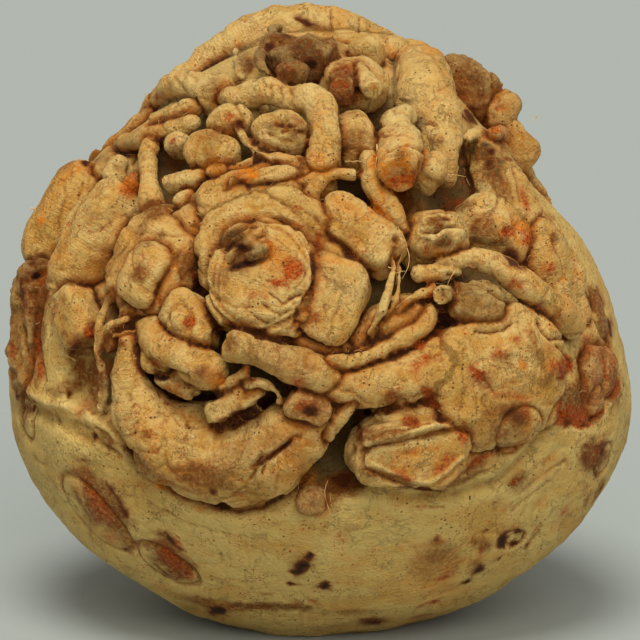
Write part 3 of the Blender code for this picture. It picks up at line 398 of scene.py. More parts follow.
# %% The lobes, as seen from the front
LOBES = (  # name, across, up, lift, (half length, half width, half height), turn, squareness
    ("hood", -12.4, 19.0, -1.6, (13.0, 13.4, 9.4), 80, 2.4),
    ("cap", -11.1, 13.8, 2.4, (12.3, 12.1, 7.4), 80, 3.0),
    ("fold_ridge", -16.6, 22.8, 8.0, (4.8, 1.7, 2.4), 38, 2.2),
    ("fold_bud", -12.6, 19.4, 8.8, (3.1, 1.9, 2.3), 14, 2.2),
    ("hood_brow", -3.7, 28.1, 0.6, (8.9, 3.6, 5.0), -30, 2.5),
    ("chin", -4.6, 6.0, 5.8, (3.4, 1.7, 2.4), 14, 2.4),
    ("bead", -9.6, 6.8, 6.8, (2.1, 1.8, 2.0), 0, 2.2),
    ("wedge_lump", -3.2, 9.9, 6.6, (2.4, 1.5, 2.0), 35, 2.4),
    ("hood_shelf", -12.0, 31.5, -3.4, (16.0, 6.5, 8.0), 12, 2.4),
    ("cheek", -33.0, 17.5, -3.5, (13.0, 12.0, 8.0), 60, 2.3),
    ("tongue", -35.5, 15.0, 1.2, (7.6, 5.6, 5.8), 55, 2.8),
    ("temple", -27.0, 24.0, -2.0, (9.0, 6.0, 6.0), 35, 2.2),
    ("slant_knob", -26.6, 5.0, 0.8, (7.6, 5.0, 5.8), -52, 2.3),
    ("hood_slab", 1.6, 9.9, -2.2, (8.0, 9.7, 8.8), -20, 5.0),
    ("leaf", 8.9, 23.5, 0.6, (10.6, 5.7, 5.4), -40, 3.2),
    ("hood_leaf_root", 3.4, 17.6, -1.0, (7.0, 3.6, 5.0), -60, 2.2),
    ("ball_under_arch", 7.7, 43.8, -1.0, (6.7, 4.7, 6.2), 100, 2.2),
    ("arch_knob", -8.1, 44.7, 1.5, (6.0, 4.9, 5.6), 12, 2.4),
    ("arch_knob_pucker", -5.5, 45.9, 5.0, (2.8, 1.9, 2.2), -10, 2.0),
    ("ridged_knob", -18.5, 47.6, 1.5, (4.5, 3.0, 4.4), 18, 2.2),
    ("potato_knob", -22.5, 40.8, 1.0, (6.2, 4.3, 5.4), -20, 2.5),
    ("arch_back_lump", -22.0, 54.8, 1.0, (4.8, 3.3, 4.0), 20, 2.1),
    ("small_dot_knob", -30.5, 43.3, 1.0, (3.0, 2.4, 3.0), 0, 2.2),
    ("blade", -43.4, 37.5, 1.0, (3.7, 2.0, 3.2), 115, 2.4),
    ("orange_bean", -39.6, 34.3, 1.0, (3.0, 2.2, 3.2), 70, 2.0),
    ("spindle_left", -28.1, 35.4, 2.2, (5.6, 1.9, 2.6), -5, 2.4),
    ("spindle_right", -10.5, 35.8, 3.0, (7.3, 2.1, 2.7), 2, 2.2),
    ("peg_knob", -28.2, 30.6, 1.0, (2.8, 1.9, 3.0), 50, 2.0),
    ("disc_knob", -23.7, 29.1, 0.8, (3.4, 2.6, 2.8), 20, 2.4),
    ("bean_knob", -21.1, 37.0, 2.2, (2.8, 1.9, 2.4), -15, 2.0),
    ("square_peg", -21.3, 33.4, 1.5, (1.9, 1.5, 2.6), 10, 3.0),
    ("globe", -54.4, 27.4, -1.0, (13.6, 7.8, 8.0), 60, 2.3),
    ("pillow", -48.0, 22.4, -0.4, (14.2, 6.8, 7.4), 53, 2.3),
    ("star_flap", -51.6, 6.2, 0.6, (7.2, 5.0, 4.6), -50, 3.0),
    ("corky_lobe", -61.2, 3.6, -2.8, (15.4, 6.8, 6.0), 93, 2.6),
    ("dark_ball", -44.0, 0.5, 0.0, (2.4, 2.2, 3.0), 0, 2.0),
    ("flap", -17.6, -11.8, 2.4, (7.2, 3.6, 3.2), 28, 2.8),
    ("hollow_end", -1.9, -12.8, 4.0, (5.0, 4.0, 3.2), -20, 2.6),
    ("pit_ball", -1.2, -32.6, 0.2, (3.1, 3.0, 2.6), 0, 2.3),
    ("belly_bulge", 36.5, -6.6, -2.2, (17.0, 15.6, 8.0), 15, 2.5),
    ("box_block", 19.4, -22.2, -0.6, (12.2, 7.2, 6.6), -4, 5.0),
    ("box_ridge", 19.0, -18.0, 1.4, (10.8, 2.4, 4.2), 4, 3.4),
    ("box_brow", 22.0, -14.2, -1.6, (11.0, 3.2, 5.4), 2, 2.8),
    ("folded_knob", 24.5, 22.5, 0.8, (6.8, 5.8, 7.2), 0, 2.5),
    ("folded_lip", 27.2, 22.7, 6.4, (4.5, 1.7, 2.4), 14, 2.2),
    ("grey_bridge", 37.5, 24.0, -3.8, (10.0, 7.4, 7.0), -20, 2.3),
    ("rough_knob", 32.6, 8.4, 0.6, (7.0, 5.5, 6.0), -4, 2.5),
    ("rough_chin", 35.8, 5.8, 2.4, (4.5, 2.8, 3.6), 20, 2.4),
    ("patch_lobe", 56.5, -8.6, -5.2, (10.4, 8.2, 7.0), 95, 2.6),
    ("patch_rim", 60.6, -5.0, -4.2, (9.0, 2.6, 4.0), 104, 2.2),
    ("shoulder_right", 49.6, 13.8, -5.4, (15.0, 9.6, 7.4), -55, 2.3),
    ("scab_lobe", 32.5, 57.2, -2.6, (8.5, 4.7, 6.4), 106, 2.3),
    ("edge_lump", 40.7, 52.5, -0.8, (4.0, 3.8, 4.6), 40, 2.1),
    ("edge_lobe", 42.8, 44.3, -1.6, (6.9, 3.8, 5.4), 112, 2.3),
    ("top_mass", 4.0, 61.5, -8.0, (22.0, 11.0, 9.0), -8, 2.2),
    ("top_bed", 8.0, 56.6, -1.2, (7.8, 6.2, 5.6), 10, 2.3),
    ("crust_brown", -8.6, 63.9, 0.6, (3.1, 3.3, 4.8), 60, 2.2),
    ("crust_bed", -2.6, 62.3, 0.0, (7.9, 5.9, 4.0), -20, 2.3),
    ("crust_barnacle", -5.5, 58.5, 3.0, (3.7, 2.8, 3.6), -10, 2.0),
    ("crust_grey", -0.2, 62.6, 1.6, (4.8, 4.2, 4.6), -35, 2.6),
    ("crust_ridge", -0.9, 70.2, 0.4, (4.5, 1.6, 3.6), -18, 2.3),
    ("nut", 5.1, 55.9, 2.2, (3.7, 2.8, 3.4), 90, 2.6),
    ("pale_lump", 10.3, 62.0, -1.6, (4.4, 3.2, 6.4), -5, 2.3),
    ("understep", -1.6, -1.2, -2.0, (11.4, 5.4, 6.2), -14, 2.5),
    ("underslab", 14.5, 3.2, -2.6, (10.6, 5.6, 6.6), 32, 2.4),
    ("collar", 22.6, 37.9, 2.4, (4.5, 3.4, 4.8), -50, 2.4),
    ("chip", -48.8, 40.8, -0.8, (2.5, 1.6, 2.6), 30, 2.0),
)
LOBE_STEEPNESS = 0.9  # how much squarer a lobe is from the side than from the front
LOBE_WOBBLES = ((1.3, 0.10), (3.1, 0.04))  # how much it is swollen out of shape: fineness, share
LOBE_SUBDIVISIONS = 5
LOBE_SEED_STEP = 7.3  # takes each lobe to its own place in the noise
print("lobes to shape:", len(LOBES))

# %% [markdown]
# One ball is made. Each lobe is a copy of its mesh, squared off, swollen and set in its place.

# %% Shape the lobes
bpy.ops.object.select_all(action="DESELECT")
bpy.ops.mesh.primitive_ico_sphere_add(subdivisions=LOBE_SUBDIVISIONS, radius=1.0)
plain_ball = bpy.context.object
ball_ways = unit(mesh_points(plain_ball.data))


def add_lobe(name, point, along, halves, squareness, seed):
    """A rounded growth at a skin point. A higher squareness makes it more like a worn block."""
    axes = surface_frame(point, along)
    x, y, z = np.abs(ball_ways.T)
    steep = squareness + LOBE_STEEPNESS
    level = (x ** squareness + y ** squareness) ** (steep / squareness)
    size = (level + z ** steep) ** (-1.0 / steep)
    for fineness, share in LOBE_WOBBLES:
        size *= 1.0 + share * perlin(ball_ways * fineness + (seed, fineness, 0.0), 1.0)
    lobe = plain_ball.copy()
    lobe.data = plain_ball.data.copy()
    lobe.name = name
    bpy.context.scene.collection.objects.link(lobe)
    set_points(lobe.data, point + (ball_ways * size[:, None] * halves) @ axes.T)
    number_growth(lobe, name.split("_")[0], "lobe", (point, axes))


for order, (name, across, up, lift, halves, turn, squareness) in enumerate(LOBES):
    add_lobe(name, on_face(across, up, lift), face_way(turn), halves, squareness,
             LOBE_SEED_STEP * order)
print("growths so far:", len(grown))

# %% [markdown]
# Low knobs are scattered over the flanks, the back and the underside, where roots were trimmed.

# %% Scatter the trimmed knobs
NUB_SEED = 11
NUB_COUNT = 18
NUB_TURNS = (98.0, 262.0)
NUB_HEIGHTS = (-48.0, 48.0)
NUB_CLEARANCE = 38.0  # degrees that they keep from the middle of the crown
NUB_SIZES = (2.2, 4.4)
NUB_WIDTHS = (0.7, 1.0)  # as shares of the size, as the next two are
NUB_RISE = 0.6
NUB_SINK = 0.15
NUB_SQUARENESS = 2.2
NUB_SEED_STEP = 13.0


def on_compass(turn, height, lift):
    """The point at a compass place of the bulb's own skin, moved out by lift."""
    point = bulb_points(compass_way(turn, height)[None, :])[0]
    return point + skin_normal(point) * lift


draw = random.Random(NUB_SEED)
made = 0
while made < NUB_COUNT:
    turn, height = draw.uniform(*NUB_TURNS), draw.uniform(*NUB_HEIGHTS)
    if math.hypot(turn - CROWN_TURN, height - CROWN_HEIGHT) < NUB_CLEARANCE:
        continue
    size = draw.uniform(*NUB_SIZES)
    halves = (size, size * draw.uniform(*NUB_WIDTHS), NUB_RISE * size)
    spin = math.radians(draw.uniform(0.0, 180.0))
    point = on_compass(turn, height, -NUB_SINK * size)
    level = np.cross((0.0, 0.0, 1.0), skin_normal(point))
    along = level * math.cos(spin) + np.cross(skin_normal(point), level) * math.sin(spin)
    add_lobe(f"nub_{made}", point, along, halves, NUB_SQUARENESS, NUB_SEED_STEP * made)
    made += 1
print(made, "knobs on the back and flanks")

# %% [markdown]
# ## Roots
#
# A root is a tube whose thickness changes along it. It could be extruded ring by ring. A curve with
# a round bevel does the same in one go: its points carry the thickness, and it is then converted to
# a mesh. The few stations of each root are joined by a smooth line first. Ends are domes where the
# root healed, and flat where a knife cut it.

# %% The roots, as seen from the front
ROOTS = (  # name, shape of the far end, then (across, up, lift, radius) from one end to the other
    ("top_arch", "round", ((-37.0, 55.5, 0.6, 1.6), (-33.5, 57.2, 0.4, 2.4), (-29.0, 60.6, 0.4, 3.1),
     (-23.5, 64.4, 0.6, 4.2), (-17.0, 68.0, 0.6, 5.4), (-9.5, 70.6, 0.6, 5.9), (-1.0, 71.2, 0.0, 5.4),
     (7.0, 69.6, -0.8, 4.8), (14.0, 66.6, -1.8, 4.4))),
    ("trunk", "round", ((22.2, 60.3, 0.4, 6.6), (23.2, 55.3, 0.6, 6.9), (25.1, 50.3, 0.8, 6.2),
     (26.7, 44.4, 1.4, 5.0), (27.4, 39.7, 1.4, 3.8), (27.6, 36.7, 0.6, 2.6))),
    ("stub", "cut", ((18.2, 48.8, 1.0, 3.8), (17.2, 46.4, 3.6, 4.2), (17.8, 43.2, 5.2, 4.9),
     (17.7, 39.9, 7.2, 4.9), (16.9, 36.3, 9.8, 4.2))),
    ("grey_tongue", "round", ((36.0, 42.5, 1.2, 4.4), (37.7, 38.5, 0.4, 5.6), (39.9, 33.2, -1.2, 7.2),
     (41.5, 26.8, -3.0, 7.6), (42.7, 20.6, -4.8, 5.8))),
    ("grey_rim", "round", ((32.5, 45.3, 2.8, 1.2), (35.6, 46.6, 3.2, 1.4), (39.0, 45.9, 3.0, 1.5),
     (41.6, 42.1, 2.8, 1.4), (43.5, 37.3, 2.6, 1.3), (45.0, 32.5, 2.4, 1.1))),
    ("strap", "round", ((26.0, 18.2, 4.2, 1.2), (31.0, 19.0, 5.4, 2.0), (36.5, 18.0, 5.6, 2.8),
     (42.0, 14.8, 5.2, 3.2), (47.0, 10.8, 4.2, 3.7), (51.4, 7.4, 2.8, 4.0), (54.6, 5.0, 1.6, 3.5))),
    ("strap_stub", "round", ((21.6, 15.4, 3.6, 1.9), (24.6, 15.6, 3.6, 2.1), (28.5, 15.8, 3.0, 1.9))),
    ("eye_peg", "cut", ((30.0, 10.4, 0.0, 2.0), (27.4, 10.7, 4.0, 2.2), (26.0, 10.8, 7.4, 2.1))),
    ("crossing_root", "round", ((24.5, 12.0, 3.5, 1.5), (20.5, 10.2, 3.0, 1.3), (16.5, 7.0, 2.8, 1.2),
     (12.5, 2.2, 2.8, 1.2), (7.0, -1.2, 2.6, 0.9))),
    ("blunt_root", "round", ((1.5, -3.9, 4.6, 2.0), (5.7, -3.4, 4.4, 2.2), (10.2, -2.0, 3.8, 1.8),
     (14.6, 0.0, 3.0, 2.2), (18.6, 2.4, 2.0, 3.0), (23.0, 6.4, 0.6, 3.2))),
    ("hanging_root", "round", ((16.2, 22.4, 6.0, 0.9), (15.8, 15.5, 5.5, 0.8), (13.8, 8.0, 5.0, 0.8),
     (10.5, 2.6, 4.0, 0.7))),
    ("hanging_root_twin", "round", ((17.2, 19.0, 3.5, 0.8), (16.6, 10.0, 3.6, 0.8),
     (11.5, 1.6, 3.6, 0.6))),
    ("fork_ridge", "cut", ((-3.0, 28.5, 1.0, 3.2), (-1.0, 33.5, 2.0, 2.3), (3.0, 36.6, 3.0, 1.7),
     (8.2, 36.6, 3.5, 1.5))),
    ("fork_ridge_back", "round", ((-12.0, 34.6, 1.0, 2.2), (-6.0, 34.4, 2.0, 2.0),
     (-0.5, 35.2, 2.5, 2.0))),
    ("square_strap", "cut", ((18.0, 25.0, 2.0, 2.0), (15.0, 29.5, 2.5, 2.6), (12.0, 34.0, 3.0, 2.4),
     (10.8, 38.5, 3.5, 2.1), (10.8, 41.0, 3.5, 2.1))),
    ("big_arch", "round", ((-24.5, 54.8, 0.4, 1.4), (-20.8, 54.3, 1.2, 2.2), (-16.9, 54.1, 2.0, 2.8),
     (-13.4, 54.9, 2.4, 3.1), (-9.9, 55.0, 2.8, 3.2), (-6.0, 53.6, 2.8, 2.9), (-2.3, 53.1, 3.0, 3.4),
     (0.5, 51.1, 3.0, 3.6), (1.7, 47.3, 3.0, 3.3), (1.7, 43.2, 2.8, 3.6), (1.1, 38.9, 2.0, 4.0))),
    ("flat_strap", "cut", ((-25.3, 52.4, 0.6, 1.9), (-28.7, 51.4, 1.8, 2.2), (-32.3, 50.1, 2.4, 2.3),
     (-35.9, 49.0, 2.6, 2.4))),
    ("pale_band", "round", ((-46.1, 43.2, 0.0, 1.6), (-41.6, 44.5, 0.8, 2.5), (-36.8, 46.1, 1.2, 2.9),
     (-32.2, 47.0, 1.0, 2.8), (-27.8, 48.2, 0.4, 2.2))),
    ("column_root", "round", ((-36.1, 45.6, 1.2, 2.0), (-36.7, 41.5, 2.2, 2.4), (-36.3, 35.9, 2.4, 2.4),
     (-36.0, 31.5, 1.8, 2.7), (-35.1, 27.8, -0.4, 3.6))),
    ("curled_root", "round", ((-27.5, 24.6, 2.5, 0.8), (-23.8, 26.7, 3.5, 0.9), (-21.0, 29.7, 3.8, 1.0),
     (-19.3, 32.9, 4.0, 1.0), (-18.1, 35.6, 4.8, 1.1))),
    ("branch_root", "round", ((-18.0, 48.0, 3.0, 0.8), (-15.8, 44.6, 4.0, 1.0), (-13.6, 41.9, 4.2, 1.1),
     (-11.0, 40.5, 4.4, 1.1), (-8.3, 40.3, 4.2, 1.2), (-5.7, 39.0, 3.4, 1.6), (-4.2, 36.9, 2.4, 1.6))),
    ("branch_root_low", "round", ((-11.7, 40.8, 3.6, 1.0), (-14.9, 39.3, 3.0, 1.2),
     (-18.3, 37.5, 2.2, 1.2))),
    ("edge_root", "round", ((-47.9, 42.5, -0.6, 1.4), (-44.4, 45.7, -0.8, 2.2), (-40.5, 49.0, -0.8, 2.6),
     (-37.6, 51.7, -0.4, 2.2), (-35.4, 54.0, 0.0, 1.6))),
    ("side_strap", "round", ((-42.5, 13.0, 2.5, 1.2), (-46.6, 6.0, 2.2, 1.1), (-47.6, 0.0, 2.0, 1.1),
     (-46.2, -6.0, 1.8, 1.2), (-46.4, -13.0, 0.5, 1.3))),
    ("side_strap_branch", "round", ((-41.0, 6.0, 3.0, 1.2), (-45.0, 3.6, 2.6, 1.2),
     (-47.4, -1.0, 2.0, 1.0))),
    ("tie_root", "round", ((-43.8, 1.8, 2.5, 0.7), (-41.6, 2.8, 3.4, 0.7), (-38.8, 3.4, 2.5, 0.7))),
    ("cheek_neck", "round", ((-38.0, 11.0, 0.0, 3.4), (-40.6, 6.5, 1.0, 2.4), (-41.5, 3.0, 1.0, 1.8))),
    ("bag", "round", ((-40.8, 1.0, 2.4, 2.2), (-40.6, -6.5, 1.2, 3.8), (-37.2, -14.4, -1.0, 6.8),
     (-30.4, -20.2, -3.4, 9.8), (-21.0, -23.4, -4.4, 11.0), (-12.2, -22.4, -3.8, 10.4),
     (-5.4, -18.0, -1.6, 8.2), (-1.8, -13.6, 0.4, 5.6))),
    ("foot", "round", ((-35.8, 3.3, 0.0, 3.8), (-32.3, 0.3, 1.4, 5.0), (-27.9, -2.6, 2.4, 5.4),
     (-23.7, -5.1, 3.0, 4.9))),
    ("foot_heel", "round", ((-35.0, -2.5, 0.6, 3.4), (-31.6, -6.0, 1.0, 3.4), (-27.5, -9.0, 1.0, 2.8))),
    ("small_peg", "round", ((-20.2, -9.2, 4.5, 1.2), (-17.6, -7.2, 5.2, 1.3), (-15.2, -5.4, 5.6, 1.4))),
    ("curl_peg", "round", ((-14.6, -8.4, 5.0, 1.4), (-12.4, -7.6, 5.4, 1.5), (-9.6, -9.0, 4.2, 1.3),
     (-8.0, -11.6, 3.2, 0.9))),
    ("handset", "round", ((-16.8, 0.4, 7.0, 4.2), (-13.0, -0.9, 6.6, 3.6), (-8.4, -2.5, 6.0, 3.5),
     (-4.2, -4.2, 5.2, 4.1), (0.0, -5.9, 3.6, 4.6), (3.8, -7.4, 2.2, 4.4))),
    ("belly", "round", ((-0.5, -7.2, 2.6, 4.2), (6.5, -8.2, 2.0, 4.7), (12.0, -8.0, 1.2, 5.4),
     (18.5, -6.6, 0.0, 6.4), (27.5, -4.0, -2.2, 8.0), (34.0, -3.6, -5.0, 8.6))),
    ("twig", "cut", ((2.2, -18.4, 1.2, 2.0), (4.6, -15.0, 2.8, 1.8), (7.6, -11.2, 4.2, 1.3))),
    ("pale_peg", "cut", ((8.5, 60.5, 1.8, 2.4), (10.2, 57.8, 3.6, 2.5), (11.9, 54.9, 5.4, 2.4))),
    ("orange_peg", "round", ((43.2, 45.7, 2.0, 2.1), (41.2, 46.6, 4.2, 1.9), (38.5, 46.3, 6.2, 1.5))),
    ("crust_rim", "round", ((-7.4, 71.7, 3.0, 0.8), (-10.6, 69.2, 3.4, 0.9), (-12.5, 65.3, 3.6, 1.0),
     (-12.2, 61.5, 3.6, 1.0), (-10.6, 58.9, 3.0, 0.9))),
    ("upright_twig", "round", ((-18.0, 64.5, 3.0, 0.7), (-17.5, 61.3, 2.6, 0.8), (-16.7, 58.3, 2.0, 0.9))),
)
BACK_ROOTS = (  # name, then (turn, height, lift, radius)
    ("top_over_back", ((92.0, 72.0, -0.6, 4.4), (115.0, 67.0, 0.4, 4.8), (146.0, 55.0, 0.6, 3.8),
     (158.0, 42.0, 0.2, 2.6), (162.0, 30.0, -0.8, 1.6))),
    ("left_over_back", ((-40.0, 68.0, 0.6, 4.0), (-90.0, 64.0, 0.4, 3.8), (-112.0, 51.0, 0.6, 2.8),
     (-121.0, 36.0, 0.0, 1.8), (-123.0, 24.0, -1.0, 1.2))),
    ("flank_right", ((106.0, 43.0, -0.4, 2.6), (109.0, 34.0, 0.4, 2.6), (112.0, 20.0, 0.0, 2.0),
     (114.0, 6.0, -1.0, 1.4))),
    ("flank_left", ((-82.0, 40.0, 0.6, 2.4), (-92.0, 26.0, 0.8, 2.4), (-98.0, 12.0, 0.2, 1.8),
     (-98.0, 0.0, -1.0, 1.2))),
    ("back_left", ((-128.0, 68.0, 0.4, 2.8), (-150.0, 56.0, 1.2, 2.6), (-160.0, 42.0, 0.6, 1.8),
     (-163.0, 32.0, -0.8, 1.2))),
)
CROWN_RINGS = (  # the cut leaf stalks: ring radius, stalks, stalk radius, how far they stand out
    (4.4, 3, 2.6, 4.2),
    (10.8, 7, 3.6, 3.2),
    (17.6, 11, 3.9, 1.8),
)
print(len(ROOTS), "roots in front,", len(BACK_ROOTS), "over the back")

# %% [markdown]
# A smooth line passes through all the stations of a root. Where the root healed, a few points more
# close it as a dome.

# %% Smooth lines with domed ends
ROOT_STEP = 0.6  # spacing of the points along a root
DOME_ANGLES = (15, 30, 45, 60, 72, 82)


def smooth_line(stations):
    """A smooth line through (point, radius) stations."""
    places = [place for place, _ in stations]
    radii = [radius for _, radius in stations]
    places = [2 * places[0] - places[1], *places, 2 * places[-1] - places[-2]]
    radii = [radii[0], *radii, radii[-1]]
    line = []
    for i in range(1, len(places) - 2):
        steps = max(2, round(np.linalg.norm(places[i + 1] - places[i]) / ROOT_STEP))
        for step in range(steps + (i == len(places) - 3)):
            t = step / steps
            point = smooth_between(*places[i - 1:i + 3], t)
            line.append((point, radii[i] + (radii[i + 1] - radii[i]) * ease(t)))
    return line


def with_round_end(line):
    """The line with points beyond its far end that close it as a dome."""
    point, radius = line[-1]
    way = unit(point - line[-3][0])
    for angle in DOME_ANGLES:
        bend = math.radians(angle)
        line = [*line, (point + way * radius * math.sin(bend), radius * math.cos(bend))]
    return line


print("a dome adds", len(DOME_ANGLES), "points to a line")

# %% [markdown]
# A line becomes a mesh by way of a curve. Blender wraps the round bevel along it and closes the ends.

# %% Make the roots
ROOT_ROUNDNESS = 9  # the bevel resolution of a root


def round_curve(name, roundness):
    """A curve with a round bevel, still without points."""
    curve = bpy.data.curves.new(name, "CURVE")
    curve.dimensions = "3D"
    curve.bevel_depth = 1.0
    curve.bevel_resolution = roundness
    curve.use_fill_caps = True
    return curve


def add_line(curve, line):
    """Adds a line of (point, radius) to a curve."""
    spline = curve.splines.new("POLY")
    spline.points.add(len(line) - 1)
    for spline_point, (point, radius) in zip(spline.points, line):
        spline_point.co = (*point, 1.0)
        spline_point.radius = radius


def select_only(obj):
    bpy.ops.object.select_all(action="DESELECT")
    obj.select_set(True)
    bpy.context.view_layer.objects.active = obj


def as_mesh(name, curve):
    """Puts a curve into the scene and converts it to a mesh."""
    obj = bpy.data.objects.new(name, curve)
    bpy.context.scene.collection.objects.link(obj)
    select_only(obj)
    bpy.ops.object.convert(target="MESH")
    return obj


def add_root(name, stations, end):
    """A root through the stations: a stalk is flat at both ends, a cut root at its far end."""
    line = smooth_line(stations)
    if end != "stalk":
        line = with_round_end(line[::-1])[::-1]
    if end == "round":
        line = with_round_end(line)
    curve = round_curve(name, ROOT_ROUNDNESS)
    add_line(curve, line)
    path = np.array([point for point, _ in line])
    number_growth(as_mesh(name, curve), name.split("_")[0], "root", path)


for name, end, stations in ROOTS:
    add_root(name, [(on_face(*place), radius) for *place, radius in stations], end)
for name, stations in BACK_ROOTS:
    add_root(name, [(on_compass(*place), radius) for *place, radius in stations], "round")
print("growths with the roots:", len(grown))

# %% [markdown]
# The crown at the back is three rings of cut leaf stalks that lean outwards. A few sines make
# neighbours differ in place, height and thickness, with nothing left to chance.

# %% The crown of cut stalks
STALK_STAGGER = 0.3  # how far a stalk is moved round its ring, at most, in radians
STALK_LEAN = 1.8  # how much further out its top is than its foot
STALK_DEPTH = 3.0  # how deep it starts in the bulb
STALK_UNEVENNESS = 0.15
FOOT_THICKNESS = 1.15  # of a stalk's foot, beside its top

crown_way = compass_way(CROWN_TURN, CROWN_HEIGHT)
crown_axes = surface_frame(on_way(crown_way), RIGHT)
stalks = 0
for radius, count, stalk_radius, stands_out in CROWN_RINGS:
    for i in range(count):
        angle = math.tau * (i + 0.5 * (count % 2)) / count + STALK_STAGGER * math.sin(7.0 * i)
        around = crown_axes @ (math.cos(angle), math.sin(angle), 0.0)
        foot = bulb_points(unit(crown_way + around * radius / HALF_DEPTH)[None, :])[0]
        top = foot + crown_axes[:, 2] * (stands_out + math.sin(5.0 * angle)) + around * STALK_LEAN
        thick = stalk_radius * (1.0 + STALK_UNEVENNESS * math.sin(3.0 * angle))
        stations = [(foot - crown_axes[:, 2] * STALK_DEPTH, thick * FOOT_THICKNESS), (top, thick)]
        add_root(f"stalk{stalks}", stations, "stalk")
        stalks += 1
print(stalks, "stalks in the crown")

# %% [markdown]
# ## Growing together
#
# All the shapes are joined into one mesh. They still run through each other, so a voxel Remesh
# turns them into a single skin: it fills the space in small cells and wraps a mesh round it. The
# joined mesh is kept for a moment, to look up which growth is nearest to each point of the skin.

# %% Join and remesh
SKIN_CELL = 0.52

bpy.data.objects.remove(plain_ball)
bpy.ops.object.select_all(action="DESELECT")
for obj in bpy.context.scene.objects:
    if obj.type == "MESH" and "growth" in obj.data.attributes:
        obj.select_set(True)
bpy.context.view_layer.objects.active = bulb
bpy.ops.object.join()
skin = bpy.context.object
skin.name = "celeriac_skin_body"
faces = [tuple(face.vertices) for face in skin.data.polygons]
growth_tree = BVHTree.FromPolygons([tuple(p) for p in mesh_points(skin.data)], faces)
growth_of_face = np.empty(len(faces), dtype=np.int32)
skin.data.attributes["growth"].data.foreach_get("value", growth_of_face)
print("joined:", len(faces), "faces of", len(grown), "growths")


def apply_modifier(obj, kind, **settings):
    select_only(obj)
    modifier = obj.modifiers.new(kind.lower(), kind)
    for name, value in settings.items():
        setattr(modifier, name, value)
    bpy.ops.object.modifier_apply(modifier=modifier.name)


apply_modifier(skin, "REMESH", mode="VOXEL", voxel_size=SKIN_CELL)
print("one skin of", len(skin.data.vertices), "points")

# %% [markdown]
# ## Which growth is where
#
# For each point of the skin the nearest growth is looked up. Where neighbours differ there is a
# crease, which is then spread over the points near it, a little for the crease itself and more for
# the shade round it.

# %% Find the creases
CREASE_ROUNDS = 2
SHADE_ROUNDS = 14

points = mesh_points(skin.data)
edges = np.empty(len(skin.data.edges) * 2, dtype=np.int32)
skin.data.edges.foreach_get("vertices", edges)
edges = edges.reshape(-1, 2)
links = np.bincount(edges.ravel(), minlength=len(points))


def spread(values, rounds):
    """Evens values out over the skin: each round averages every point with its neighbours."""
    values = np.asarray(values, dtype=float)
    if values.ndim > 1:
        return np.column_stack([spread(column, rounds) for column in values.T])
    for _ in range(rounds):
        sums = np.bincount(edges[:, 0], values[edges[:, 1]], len(values))
        sums += np.bincount(edges[:, 1], values[edges[:, 0]], len(values))
        values = 0.5 * values + 0.5 * sums / links
    return values


nearest_face = np.array([growth_tree.find_nearest(Vector(place))[2] for place in points])
growth = growth_of_face[nearest_face]
families = [entry["family"] for entry in grown]
family = np.array([families.index(name) for name in families])[growth]
family_name = np.array(families)[growth]
kind_name = np.array([entry["kind"] for entry in grown])[growth]
crossing = edges[family[edges[:, 0]] != family[edges[:, 1]]]
at_crease = np.zeros(len(points))
at_crease[crossing.ravel()] = 1.0
crease = spread(at_crease, CREASE_ROUNDS)
shade_round_crease = spread(at_crease, SHADE_ROUNDS)
floor_of_tangle = spread(family_name == "bulb", CREASE_ROUNDS)
print("creases on", int(at_crease.sum()), "points")

# %% [markdown]
# Each point also gets a grain: how far along its root or lobe it is, how far round it, and how far
# out. Wrinkles, rings and fibres follow the grain, as they do on the real root.

# %% Find the grain
SMALLEST_RADIUS = 0.5
GRAIN_SHIFT = 17.0  # keeps the patterns of two growths from running on into each other


def along_path(places, path):
    """How far along a path the nearest spot to each place is, the spot, and the way there."""
    steps = np.linalg.norm(np.diff(path, axis=0), axis=1)
    lengths = np.concatenate(([0.0], np.cumsum(steps)))
    best = np.full(len(places), np.inf)
    travelled = np.zeros(len(places))
    spot = np.zeros((len(places), 3))
    way = np.zeros((len(places), 3))
    for i, (start, end) in enumerate(zip(path, path[1:])):
        leg = end - start
        share = np.clip((places - start) @ leg / (leg @ leg), 0.0, 1.0)
        here = start + share[:, None] * leg
        apart = np.linalg.norm(places - here, axis=1)
        closer = apart < best
        best[closer] = apart[closer]
        travelled[closer] = lengths[i] + share[closer] * steps[i]
        spot[closer] = here[closer]
        way[closer] = leg / steps[i]
    return travelled, spot, way


def grain_of(places, entry):
    """Along, round and out, in millimetres, for skin that belongs to one growth."""
    if entry["kind"] == "lobe":
        point, axes = entry["guide"]
        return (places - point) @ axes
    if entry["kind"] == "root":
        travelled, spot, way = along_path(places, entry["guide"])
        out = places - spot
        side = unit(np.cross(way, skin_normal(spot)))
        rise = np.cross(side, way)
        radius = np.linalg.norm(out, axis=1)
        angle = np.arctan2((out * side).sum(axis=1), (out * rise).sum(axis=1))
        return np.column_stack((travelled, angle * np.maximum(radius, SMALLEST_RADIUS), radius))
    from_front = angle_from(unit(places), -INWARD) * HALF_DEPTH
    return np.column_stack((from_front, places @ RIGHT, places @ UP))


grain = np.zeros((len(points), 3))
for number, entry in enumerate(grown):
    mine = growth == number
    if mine.any():
        grain[mine] = grain_of(points[mine], entry) + (0.0, 0.0, GRAIN_SHIFT * number)
print("a grain on", len(grain), "points, along roots on", int((kind_name == "root").sum()))

# %% [markdown]
# ## Creases, rings and wrinkles
#
# The skin is now moved in and out along its normals, all by numbers that were just worked out. The
# creases sink in. Round scars get a ring and a shallow dome. Roots get the rings that show where
# they shrank. Everything gets small lumps and curvy wrinkles; a wrinkle runs where a noise crosses
# zero. Cracks and folds that are seen on the front are drawn as lines: a negative height cuts a
# crack, a positive one lifts a fold.

